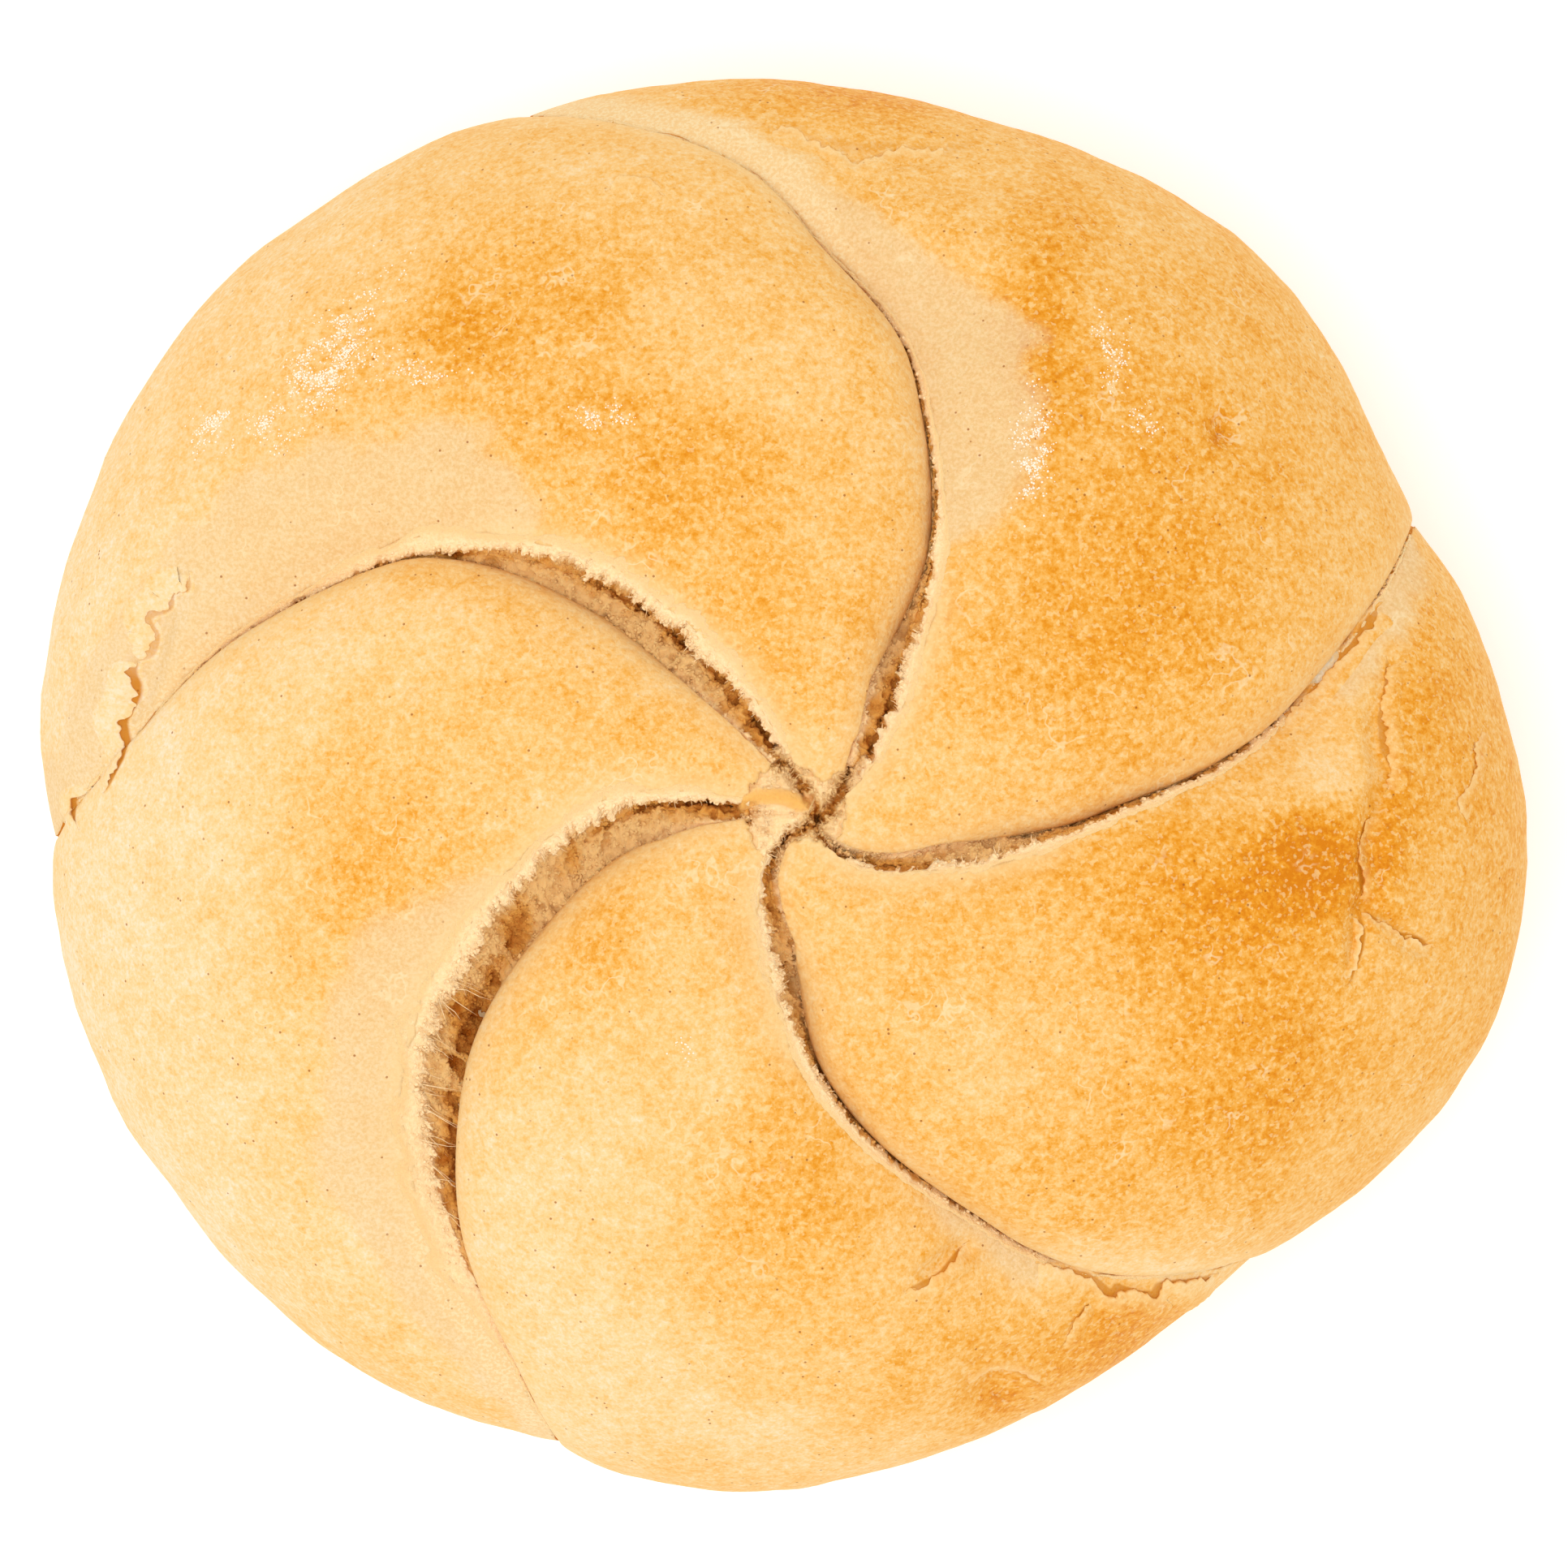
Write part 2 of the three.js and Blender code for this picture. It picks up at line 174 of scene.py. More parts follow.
# Folds and cracks near the rim: from, to, bow, depth and width.
CREASES = [
    ((-0.8, 48.6), (14.5, 46.8), -1.3, 0.5, 0.9),
    ((45.6, 9.0), (41.5, -14.5), 0.2, 0.8, 0.9),
    ((42.7, -9.6), (48.1, -12.6), -0.3, 0.7, 0.8),
    ((-45.6, 13.6), (-49.4, 4.2), 0.6, 0.9, 0.8),
    ((10.3, -37.4), (14.7, -35.2), 0.2, 0.7, 0.8),
]
CREASE_END = 0.4  # what is left of a crease's depth at its ends
CREASE_SHADE_WIDTH = 0.4  # how wide its line of painted shade is
# how dark the painted shade along a crease is
CREASE_SHADE = 0.3
CREASE_WANDER = (0.25, 2.2)  # how far it wanders aside, and over what length
# Round dents: place, radius and depth.
DENTS = [
    ((16, -45.0), 2.2, 1.1),
    ((32.3, 25.3), 1.2, 0.9),
    ((-15.6, -31.2), 2.2, 0.5),
    ((-26.6, 6.6), 0.8, 0.4),
    ((11.0, -21.0), 1.2, 0.2),
    ((39.4, -18.3), 1.4, 0.5),
    ((-46.5, -6.0), 1.6, 0.3),
]

# How brown the crust is: a base, and patches given by place, spread, turn of the long side and
# how much browner they are.
PALE_SIDE = -0.3
PALE_SIDE_FROM = (22, 58)  # how far out on the side towards -X it is paler
BROWN_BASE = 0.42
BROWN_FOOT = 0.62
BROWN_FOOT_UNDER = (0.5, 7)  # the heights between which the foot's browning ends
BROWN_CLOUDS = ((0.07, 7.0, 3), (0.05, 3.2, 4))
BROWN_PATCHES = [
    ((-20, 35), (9, 5), 20, 0.36),
    ((-22, 33), (3.5, 3), 0, 0.2),
    ((-10, 26), (14, 4), -12, 0.24),
    ((-33, 27), (6, 6), 60, 0.1),
    ((-6, 17), (13, 7), -30, 0.26),
    ((2, 8), (5, 4), 0, 0.08),
    ((19, 33), (3.5, 9), -10, 0.4),
    ((27, 22), (12, 17), 0, 0.22),
    ((24, 8), (14, 8), 20, 0.22),
    ((39, 22), (6, 12), 20, 0.05),
    ((39, -6), (6, 4), 15, 0.6),
    ((33, -9), (11, 7), 10, 0.34),
    ((38, -19), (9, 9), 0, 0.22),
    ((13, -12), (11, 6), 0, 0.1),
    ((28, -25), (10, 6), 30, 0.12),
    ((-1, -20), (4, 8), 15, 0.1),
    ((0, -32), (8, 10), -20, 0.32),
    ((13, -43), (8, 5), 20, 0.2),
    ((20, -43), (7, 4), 30, 0.26),
    ((-30, -7), (8, 10), 20, 0.22),
    ((-14, 4), (12, 5), -5, 0.14),
    ((-27, 16), (8, 2.5), -8, 0.24),
    ((48, 6), (3, 8), 0, 0.2),
    ((30, 45), (16, 5), -35, 0.16),
    ((5, 50), (14, 2.5), -4, 0.22),
    ((-44, 20), (5, 8), 30, 0.04),
    ((20, -22), (6, 6), 0, -0.02),
    ((24, -32), (12, 3.5), 22, 0.0),
    ((26, -10), (9, 8), 0, 0.1),
    ((34, -25), (9, 8), 20, 0.18),
    ((53, -4), (6, 20), 0, 0.24),
    ((36, 22), (9, 9), 0, 0.08),
    ((12, 43), (9, 5), -15, 0.12),
    ((25, -36), (9, 1.6), -6, -0.35),
    # This one makes the crust darker in the dent at (16, -45).
    ((16.2, -45.8), (1.6, 1.2), 0, 0.3),
    ((-10, -11), (8, 6), 0, 0.16),
    ((26, -41), (7, 5), -40, 0.28),
    ((-40, -36), (10, 8), 40, -0.2),
    ((-31, 40), (6, 5), 50, -0.12),
    ((-20, 35), (5, 4), 20, -0.12),
    ((23, 15), (8, 10), 0, 0.08),
    ((-13, -31), (11, 14), 0, -0.24),
    ((-8, -47), (16, 5), -8, -0.2),
    ((-45, -10), (8, 22), 0, -0.12),
    ((-28, -33), (8, 12), 40, -0.16),
    ((-28, 9), (10, 5), 0, -0.12),
    # This one darkens the crust right of the fold: partly its own browning, partly painted shade
    # along the fold.
    ((45.2, -1), (1.8, 6), -8, 0.26),
    ((40.5, 3.2), (3.2, 4.2), 10, -0.12),
    ((6, 51), (12, 1.6), -6, 0.2),
    ((-15, -14), (6, 9), 0, 0.06),
    ((20, -29), (10, 5), 20, 0.1),
    ((26, -41), (6, 3), 28, 0.12),
    ((-43, -17), (6, 8), 0, 0.1),
    ((-34, -32), (8, 8), 40, 0.1),
    ((-3, -20), (3.5, 6), 15, -0.14),
    ((39, -0.6), (4.8, 2.0), 5, -0.2),
    ((20, -39.5), (3.5, 3.5), 0, -0.24),
    ((-16, 4), (8, 4), 0, -0.08),
    # This one makes the crust darker in the dent at (32.3, 25.3).
    ((32.3, 25.6), (0.8, 1.7), 0, 0.4),
]

# Where flour lies, in clumps: place and spread.
CLUMP = 0.7
FLOUR = [
    ((-33.2, 30.5), (4.4, 1.5), 55),
    ((-26.8, 30), (2.6, 0.7), -12),
    ((-13, 26.5), (1.4, 0.8), 0),
    ((18.6, 24), (0.9, 3), 0),
    ((24.3, 31.5), (0.7, 2.2), 10),
    ((26.7, 26), (0.8, 0.8), 0),
    ((-41.3, 25.4), (1.2, 1.0), 0),
    ((-37.6, 25.6), (0.8, 0.8), 0),
    ((-7, -20), (0.5, 0.5), 0),
]

# The crumb in the middle, about the swirl's centre: the gaps that run through it as points, width
# and depth, the place and spread of its strands, a flap of crumb, and a fold of crust that lies
# over the end of the lower left seam.
CENTRE_REACH = 6.3
CENTRE_STEP = 0.075
CENTRE_LEVEL = -0.14
CENTRE_DROP, CENTRE_RIM = 3.0, 0.9  # how far and in how wide a rim it drops under the crust
CENTRE_GAPS = [
    (((3.6, 6.6), (2.5, 3.7), (1.7, 1.1), (0.2, -0.6), (-2.0, -1.7), (-3.2, -3.4), (-3.5, -6.4)),
     0.34, 1.35),
    (((-4.7, 6.7), (-3.2, 4.3), (-1.6, 3.0), (-0.5, 1.1), (0.2, -0.5)), 0.3, 1.05),
    (((0.2, -0.5), (0.6, -2.1), (1.9, -3.1), (3.8, -3.4), (6.6, -3.2)), 0.27, 1.05),
    (((-6.6, -0.3), (-5.4, 0.0), (-4.8, 0.2)), 0.6, 0.8),
]
CENTRE_WANDER_X = ((0.3, 0.7, 71), (0.22, 0.28, 73))
CENTRE_WANDER_Y = ((0.3, 0.7, 72), (0.22, 0.28, 74))
CENTRE_RELIEF = ((0.16, 0.8, 75), (0.14, 0.4, 76), (0.09, 0.2, 77))
BANK_WIDTH = 2.6  # how many times wider than a gap its banks are
CENTRE_SEEN = 6  # fibres and grains grow this far out
CENTRE_STRANDS = (0.1, 1.6), 0.3
CENTRE_FLAP = ((-4.6, -0.2), (-2.6, 0.1), (-2.0, -0.9), (-3.6, -2.6), (-4.0, -4.4))
CENTRE_FOLD = (((-6.3, 0.1), (-5.0, 0.9), (-3.9, 1.3), (-2.4, 1.2), (-0.9, 0.8)), 0.75, 0.45)


@dataclass(frozen=True)
class Flap:
    """A ragged edge of crust that stands a little proud along a tear."""

    name: str
    path: tuple  # in the plan, with the flap on its left
    width: float
    lift: float
    pale: float
    tear: float  # how wide the tear gapes


FLAPS = [
    Flap("left_skin_edge", ((-50.4, -1.1), (-49.6, 0.3), (-49.3, 1.6), (-49.5, 3.4), (-49.6, 4.3),
                            (-48.9, 5.6), (-48.4, 7.6), (-47.9, 8.7)), 2.0, 0.26, 0.5, 0.2),
    Flap("left_skin_line", ((-47.9, 8.7), (-47.1, 9.3), (-46.6, 10.6), (-46.7, 11.9),
                            (-45.3, 12.9), (-44.9, 13.8), (-43.9, 14.0), (-43.7, 15.3)),
         1.4, 0.16, 0.4, 0.07),
    Flap("left_rim_crack", ((-52.1, -3.9), (-52.8, -2.7), (-53.0, -1.7), (-52.4, -1.1),
                            (-51.9, -0.5)), 1.2, 0.25, 0.5, 0.22),
    Flap("right_seam_edge", ((45.6, 13.3), (43.9, 10.7), (42.1, 8.2), (40.2, 5.9), (38.2, 3.8)),
         1.4, 0.2, 0.6, 0.12),
    Flap("right_fold_upper", ((45.7, 9.2), (45.4, 6.8), (45.1, 4.9), (45.0, 2.7), (45.0, 1.2),
                              (45.2, 0.1), (44.6, -1.1)), 1.0, 0.22, 0.45, 0.1),
    Flap("right_fold_middle", ((43.9, -2.3), (43.0, -4.0), (42.6, -5.7), (42.7, -8.1),
                               (42.5, -9.2)), 1.3, 0.24, 0.5, 0.14),
    Flap("right_fold_lower", ((41.1, -15.1), (42.1, -13.6), (42.5, -12.0), (42.6, -10.8),
                              (42.5, -9.7)), 0.6, 0.24, 1.0, 0.2),
    Flap("right_cross_fold", ((48.1, -12.6), (46.1, -11.8), (44.2, -10.8), (42.7, -9.6)),
         0.9, 0.2, 0.7, 0.16),
    Flap("bottom_ragged", ((33.2, -37.5), (30.7, -38.0), (28.7, -38.4), (28.1, -38.9),
                           (25.7, -38.6), (25.2, -39.1), (24.0, -38.3), (22.8, -37.9),
                           (21.2, -37.6), (19.6, -37.2)), 1.8, 0.3, 0.7, 0.11),
    Flap("bottom_crack", ((24.2, -39.4), (23.1, -40.0), (22.0, -41.4), (20.8, -42.7)),
         0.8, 0.14, 0.5, 0.12),
    Flap("bottom_seam_edge", ((14.5, -35.4), (13.1, -36.3), (11.9, -37.0), (10.5, -37.5),
                              (9.2, -37.7)), 1.3, 0.25, 0.6, 0.12),
    Flap("bottom_dent_lip", ((13.9, -45.1), (15.2, -44.5), (16.6, -44.2), (18.2, -44.5),
                             (19.7, -45.0)), 1.3, 0.28, 0.8, 0.05),
    Flap("right_rim_edge", ((51.6, 3.7), (51.1, 2.4), (50.7, 0.6), (50.5, -0.7), (49.8, -1.4),
                            (49.5, -2.1), (50.1, -3.1), (50.5, -3.6)), 0.8, 0.16, 0.8, 0.06),
    Flap("top_ridge", ((12.5, 46.8), (9.5, 46.9), (7.6, 46.6), (5.8, 46.2), (4.2, 46.9),
                       (2.9, 47.7), (1.0, 48.4), (-0.8, 48.6)), 1.2, 0.24, 0.9, 0.03),
    Flap("upper_blister", ((-8.4, 42.3), (-9.2, 43.0), (-10.4, 43.5), (-11.6, 43.3),
                           (-12.5, 42.6)), 0.9, 0.14, 0.6, 0.04),
]
FLAP_STEP = 0.13
FLAP_COLUMNS = 34
FLAP_EDGE = 6.6  # the row of the section where a flap's pale edge lies
FLAP_TAPER = 1.5  # how far from its ends a flap thins out
FLAP_ENDS_SINK = 0.25
FULL_SHADE_TEAR = 0.14  # a tear this wide or wider has painted shade all through
# A flap's section over its tear and then over the flap, from the tear: widths, tears and
# millimetres in from its edge, then lifts and millimetres up.
FLAP_SECTION = np.array([
    (0, -1.7, -0.3, 0, -0.15), (0, -1.4, -0.15, 0, 0.03), (0, -1, 0, 0, 0.06),
    (0, -0.5, 0, 0, 0.06), (0, 0, 0.02, 0.1, 0.05), (0, 0, -0.02, 0.6, 0.02),
    (0, 0, 0, 0.95, 0.02), (0, 0, 0.15, 1.05, 0.02), (0.25, 0, 0.15, 0.95, 0.02),
    (0.6, 0, 0.1, 0.5, 0.02), (0.9, 0, 0, 0.1, 0), (1.0, 0, 0.2, 0, -0.3),
])

CRUST_STEP = 0.46  # the crust's triangles are about this long
SIDE_STEP = 0.8
SMOOTH_EDGE_STEPS = (0.12, 0.3, 0.55, 0.85, 1.2, 1.65, 2.2, 2.9, 3.8)
TORN_EDGE_STEPS = (3.8, 2.9, 2.2, 1.65, 1.2, 0.8, 0.45, 0.2)
# The wall below each crust edge: how far in under the crust, and how far down in depths.
SMOOTH_WALL = ((0.5, 0.75), (0.5, 0.45), (0.3, 0.25), (0.1, 0.12), (0.02, 0.04))
TORN_WALL = ((0.1, 0.06), (0.3, 0.2), (0.4, 0.5), (0.3, 0.8))
EDGES_AT_MOST = 0.8  # of a petal's width, near the middle where it is narrow
EDGE_SWELL = 0.35  # how much of the dough's lumps is left at a crust edge
# Columns are numbered by places round each ring, so many a petal, and those between its two edges
# take the middle ones.
PETAL_PLACES = 100
FIELD_PLACES = (20, 80)
COLUMNS_EVEN = (-70, -8)  # the profiles between which the columns spread evenly
TIP_ROUGHNESS = ((0.3, 0.9, 61), (0.2, 0.4, 62))
# The dough's lumps and wrinkles: height, size, seed, and how much pulled skin smooths them.
DOUGH = ((0.30, 11.0, 21, 0), (0.16, 5.0, 22, 0), (0.07, 2.2, 23, 0.5), (0.03, 1.0, 24, 0.7))
DOUGH_CALM = 2.5  # they grow to their full height this far in from an edge
DOUGH_STARTS = (0.2, 4)  # and from nothing to all between these heights over the foot
BAND_WANDER = ((1, 3.0, 15), (0.6, 1.4, 16))
SKIN_SOFTNESS = 1.1  # how softly the pulled skin ends, and likewise the bare dough below
RAW_SOFTNESS = 0.25
RAW_WANDER = 0.35
# The heights over the foot between which marks and bare dough come in, and where flour ends.
MARKS_FROM = (6, 20)
RAW_FROM = (12, 20)
FLOUR_ABOVE = 15
# The crust is paler along its edges: how wide along a torn one and how torn it has to be, and how
# wide and how much along a smooth one.
PALE_TORN = 1.3
PALE_WHERE_TORN = (0.0, 0.4)
PALE_SMOOTH = 1.4
PALE_SMOOTH_SHARE = 0.6
PIT_PROFILE = 88.6  # where the innermost ring lies
PIT_DEPTH = 5.0  # how far under the crust the pit inside that ring is closed
TIP_EDGE = (-0.1, 0.15)  # where the drop at a tip ends and starts, about the tip's outline


def srgb(red, green, blue):
    """A colour as a painter reads it off a screen, 0 to 255, turned to the light it stands for."""
    def linear(value):
        value /= 255
        return value / 12.92 if value <= 0.04045 else ((value + 0.055) / 1.055) ** 2.4

    return (linear(red), linear(green), linear(blue), 1.0)


def bell(distance, width):
    return np.exp(-((distance / width) ** 2))


def lerp(a, b, t):
    return a + (b - a) * t


def smoothstep(value, low, high):
    t = np.clip((value - low) / (high - low), 0, 1)
    return t * t * (3 - 2 * t)


def curve_through(places, values, place):
    """A smooth curve through values at the given places (Hermite, with the neighbours' slope)."""
    places = np.asarray(places, float)
    values = np.asarray(values, float)
    slopes = np.gradient(values, places, axis=0, edge_order=1)
    slopes[1:-1] = (values[2:] - values[:-2]) / (places[2:] - places[:-2]).reshape(
        (-1,) + (1,) * (values.ndim - 1))
    i = np.clip(np.searchsorted(places, place, side="right") - 1, 0, len(places) - 2)
    step = places[i + 1] - places[i]
    t = np.clip((place - places[i]) / step, 0, 1)
    shape = t.shape + (1,) * (values.ndim - 1)
    t = t.reshape(shape)
    step = step.reshape(shape)
    return (
        (2 * t**3 - 3 * t**2 + 1) * values[i]
        + (t**3 - 2 * t**2 + t) * step * slopes[i]
        + (3 * t**2 - 2 * t**3) * values[i + 1]
        + (t**3 - t**2) * step * slopes[i + 1]
    )


def cell_random(cell, seed):
    """A repeatable random number from 0 to 1 for each cell of a grid."""
    x, y, z = (cell[..., i].astype(np.int64).astype(np.uint64) for i in range(3))
    h = x * np.uint64(73856093) ^ y * np.uint64(19349663) ^ z * np.uint64(83492791)
    h ^= np.uint64(seed * 2654435761 + 97)
    for shift, factor in ((15, 2246822519), (13, 3266489917), (16, 668265263)):
        h = (h ^ (h >> np.uint64(shift))) * np.uint64(factor)
    h ^= h >> np.uint64(16)
    return (h & np.uint64(0xFFFFFF)).astype(float) / 0xFFFFFF


def lumps(points, size, seed):
    """Smooth noise from -1 to 1 whose lumps have the given size, one or one for each axis."""
    scaled = points / np.asarray(size, float)
    cell = np.floor(scaled)
    inside = scaled - cell
    fade = inside**3 * (inside * (inside * 6 - 15) + 10)
    total = np.zeros(len(points))
    for corner in itertools.product((0, 1), repeat=3):
        weight = np.ones(len(points))
        for axis, side in enumerate(corner):
            weight *= fade[:, axis] if side else 1 - fade[:, axis]
        total += weight * (2 * cell_random(cell + np.array(corner), seed) - 1)
    return total


def layered(points, layers):
    """Lumps of several sizes at once. Each layer is a height, a size and a seed."""
    return sum(height * lumps(points, size, seed) for height, size, seed in layers)


def ridged(points, size, seed):
    """Lumps folded into sharp ridges."""
    return RIDGES * (0.3 - np.abs(lumps(points, size, seed)))


def on_line(along):
    """Places on a straight line, at distances along it."""
    return np.c_[along, np.zeros_like(along), np.zeros_like(along)]


def unit(vectors):
    return vectors / np.maximum(np.linalg.norm(vectors, axis=-1), 1e-9)[..., None]


def run_along(path):
    """The distance along a path at each of its points."""
    return np.r_[0, np.cumsum(np.linalg.norm(np.diff(path, axis=0), axis=1))]


def bubbles(points, size, seed, share=1.0):
    """0 outside the bubbles to 1 in their middles. share is the part of the cells that has one."""
    scaled = points / size
    cell = np.floor(scaled)
    deepest = np.zeros(len(points))
    for corner in itertools.product((-1, 0, 1), repeat=3):
        near = cell + np.array(corner)
        middle = near + np.stack([cell_random(near, seed + i) for i in range(3)], axis=1)
        radius = 0.25 + 0.45 * cell_random(near, seed + 3)
        away = np.linalg.norm(scaled - middle, axis=1) / radius
        there = cell_random(near, seed + 4) < share
        deepest = np.maximum(deepest, np.where(there, 1 - away**2, 0))
    return np.clip(deepest, 0, 1)


def in_patch(plan, place, spread, turn):
    """1 in the middle of an oval patch of the plan, falling to 0 round it."""
    away = plan - np.array(place, float)
    c, s = math.cos(math.radians(turn)), math.sin(math.radians(turn))
    along = away[:, 0] * c + away[:, 1] * s
    aside = away[:, 1] * c - away[:, 0] * s
    return np.exp(-((along / spread[0]) ** 2) - (aside / spread[1]) ** 2)


def outline_radius(bearing):
    """The outline's distance from the swirl's centre on a bearing."""
    angle = np.radians(bearing)
    along = SWIRL_CENTRE[0] * np.cos(angle) + SWIRL_CENTRE[1] * np.sin(angle)
    radius = -along + np.sqrt(along**2 + ROLL_RADIUS**2 - (SWIRL_CENTRE**2).sum())
    for at, spread, rise in BULGES:
        radius = radius + rise * bell((bearing - at + 180) % 360 - 180, spread)
    return radius


def share_at(profile):
    """The share of the way out that a profile lies at."""
    across = np.maximum(np.cos(np.radians(profile)), 0) ** (2 / DOME_ROUNDING)
    return np.where(profile >= 0, across, 1.0)


def profile_of(share):
    """The profile of the top at a share of the way out."""
    return np.degrees(np.arccos(np.clip(share, 0, 1) ** (DOME_ROUNDING / 2)))


def body_point(bearing, profile):
    """Distance out, height, and outward and upward parts of the normal, on the plain body."""
    radius = outline_radius(bearing)
    c = np.abs(np.cos(np.radians(profile)))
    s = np.abs(np.sin(np.radians(profile)))
    rise = ROLL_HEIGHT - RIM_HEIGHT
    foot = FOOT_SHARE * radius
    share = c ** (2 / DOME_ROUNDING)
    above = profile >= 0
    top = RIM_HEIGHT + rise * s ** (2 / DOME_ROUNDING)
    top = top - STAMP_DIP_DEPTH * bell(radius * share, STAMP_DIP_RADIUS)
    out = np.where(above, radius * share, foot + (radius - foot) * c)
    height = np.where(above, top, RIM_HEIGHT * (1 - s))
    up_power = 2 * (DOME_ROUNDING - 1) / DOME_ROUNDING
    outward = np.where(above, share ** (DOME_ROUNDING - 1) / radius, c / (radius - foot))
    upward = np.where(above, s**up_power / rise, -s / RIM_HEIGHT)
    length = np.hypot(outward, upward)
    return out, height, outward / length, upward / length


def seam_at(seam, share):
    """A seam at shares of the way out: bearing, lie against the ray, gap, depth and how torn."""
    step = 0.02
    inner = np.maximum(share - step, 0)
    outer = np.minimum(share + step, 1)
    turn = curve_through(SEAM_SHARES, seam.turns, outer) - curve_through(
        SEAM_SHARES, seam.turns, inner)
    slant = np.arctan(share * np.radians(turn) / (outer - inner))
    torn = 1 - smoothstep(share, *seam.closes)
    there = lerp(1, FADED, smoothstep(share, *seam.fades))
    fringed = 1 - smoothstep(share, *seam.fringe_ends)
    return {
        "bearing": curve_through(SEAM_SHARES, seam.turns, share),
        "lie": np.cos(slant),
        "gap": lerp(SHUT_GAP, seam.open_gap, torn) * there,
        "depth": lerp(SHUT_DEPTH, OPEN_DEPTH, torn) * there,
        "torn": torn,
        "fringe": lerp(SHUT_FRINGE, seam.fringe, fringed) * there,
        "bare": seam.bare * (1 - smoothstep(share, *BARE_NEAR_MIDDLE)),
    }


def petal_relief(from_smooth, from_torn, share, room):
    """The crust's height over the plain body, at distances from the petal's two crust edges."""
    half = room / 2
    outer = smoothstep(share, *SLOPE_WIDENS)
    slope_drop = lerp(SLOPE_INNER[0], SLOPE_OUTER[0], outer)
    slope_width = lerp(SLOPE_INNER[1], SLOPE_OUTER[1], outer)

    def towards_edge(distance, width):
        return 1 - np.clip(distance / np.minimum(width, half), 0, 1)

    def fit(width):
        return np.minimum(1, half / width)

    near_smooth = towards_edge(from_smooth, ROUND_WIDTH)
    near_torn = towards_edge(from_torn, slope_width)
    round_fall = ROUND_DROP * fit(ROUND_WIDTH) * (np.sqrt(1 - near_smooth**2) - 1)
    slope_fall = -slope_drop * fit(slope_width) * near_torn**2
    crown = PETAL_CROWN * fit(WIDE_PETAL / 2) * np.sin(np.pi * np.clip(from_smooth / room, 0, 1))
    return round_fall + slope_fall + crown


class Petal:
    """One petal along many profiles at once: where its two seams lie, and its crust between."""

    def __init__(self, number, profile):
        self.first = SEAMS[number]
        self.next = SEAMS[(number + 1) % len(SEAMS)]
        self.profile = profile
        self.share = share_at(profile)
        self.low = seam_at(self.first, self.share)
        self.high = seam_at(self.next, self.share)
        self.start = self.low["bearing"]
        self.end = self.high["bearing"] + (360 if number + 1 == len(SEAMS) else 0)
        self.out = body_point((self.start + self.end) / 2, profile)[0]
        # A millimetre across each seam, in degrees.
        self.low_step = np.degrees(1 / (self.out * self.low["lie"]))
        self.high_step = np.degrees(1 / (self.out * self.high["lie"]))
        self.smooth_edge = self.low["gap"] / 2 + CRUST_OVER_FRINGE * self.low["bare"]
        self.torn_edge = self.high["gap"] / 2 + CRUST_OVER_FRINGE * self.high["fringe"]
        reach = (self.smooth_edge + SMOOTH_EDGE_STEPS[-1]) * self.low_step
        reach = reach + (self.torn_edge + TORN_EDGE_STEPS[0]) * self.high_step
        self.tight = np.minimum(1, EDGES_AT_MOST * (self.end - self.start) / reach)
        self.strength = lerp(1, RIM_RELIEF, smoothstep(self.share, RELIEF_THINS_FROM, 1))
        self.strength = self.strength * smoothstep(profile, RELIEF_GONE, RELIEF_STARTS)
        self.room = 2 * (self.end - self.start) / (self.low_step + self.high_step)
        self.shallow = np.minimum(1, SHALLOW_MIDDLE[0] + self.out / SHALLOW_MIDDLE[1])
        self.tip = TIPS[number], TIP_POINTS[number]

    def within_crust(self, bearing):
        """How far bearings lie in from the nearest edge of the crust, its tip's among them."""
        from_smooth = (bearing - self.start) / self.low_step - self.smooth_edge * self.tight
        from_torn = (self.end - bearing) / self.high_step - self.torn_edge * self.tight
        middle = from_smooth - from_torn
        tip, point = self.tip
        over_tip = self.out - tip - point * np.abs(middle) / np.maximum(self.room, 0.5)
        return np.minimum(np.minimum(from_smooth, from_torn), over_tip)

    def distances(self, bearing, row=slice(None)):
        """How far a bearing is in from the smooth crust edge and from the torn gap's edge."""
        from_smooth = (bearing - self.start[row]) / self.low_step[row]
        from_torn = (self.end[row] - bearing) / self.high_step[row]
        gap_smooth = self.low["gap"][row] / 2 * self.tight[row]
        gap_torn = self.high["gap"][row] / 2 * self.tight[row]
        return from_smooth - gap_smooth, from_torn - gap_torn

    def holds(self, bearing):
        """Whether a bearing lies between the petal's seams, and the bearing counted up from them."""
        turned = self.start + (bearing - self.start) % 360
        return turned < self.end, turned

    def crust(self, bearing, row=slice(None)):
        from_smooth, from_torn = self.distances(bearing, row)
        relief = petal_relief(from_smooth, from_torn, self.share[row], self.room[row])
        return self.strength[row] * relief

    def edge_heights(self):
        """The crust's height at its smooth edge, and at the edge of the torn gap."""
        nothing = np.zeros_like(self.room)
        smooth = petal_relief(nothing, self.room, self.share, self.room)
        torn = petal_relief(self.room, nothing, self.share, self.room)
        return self.strength * smooth, self.strength * torn


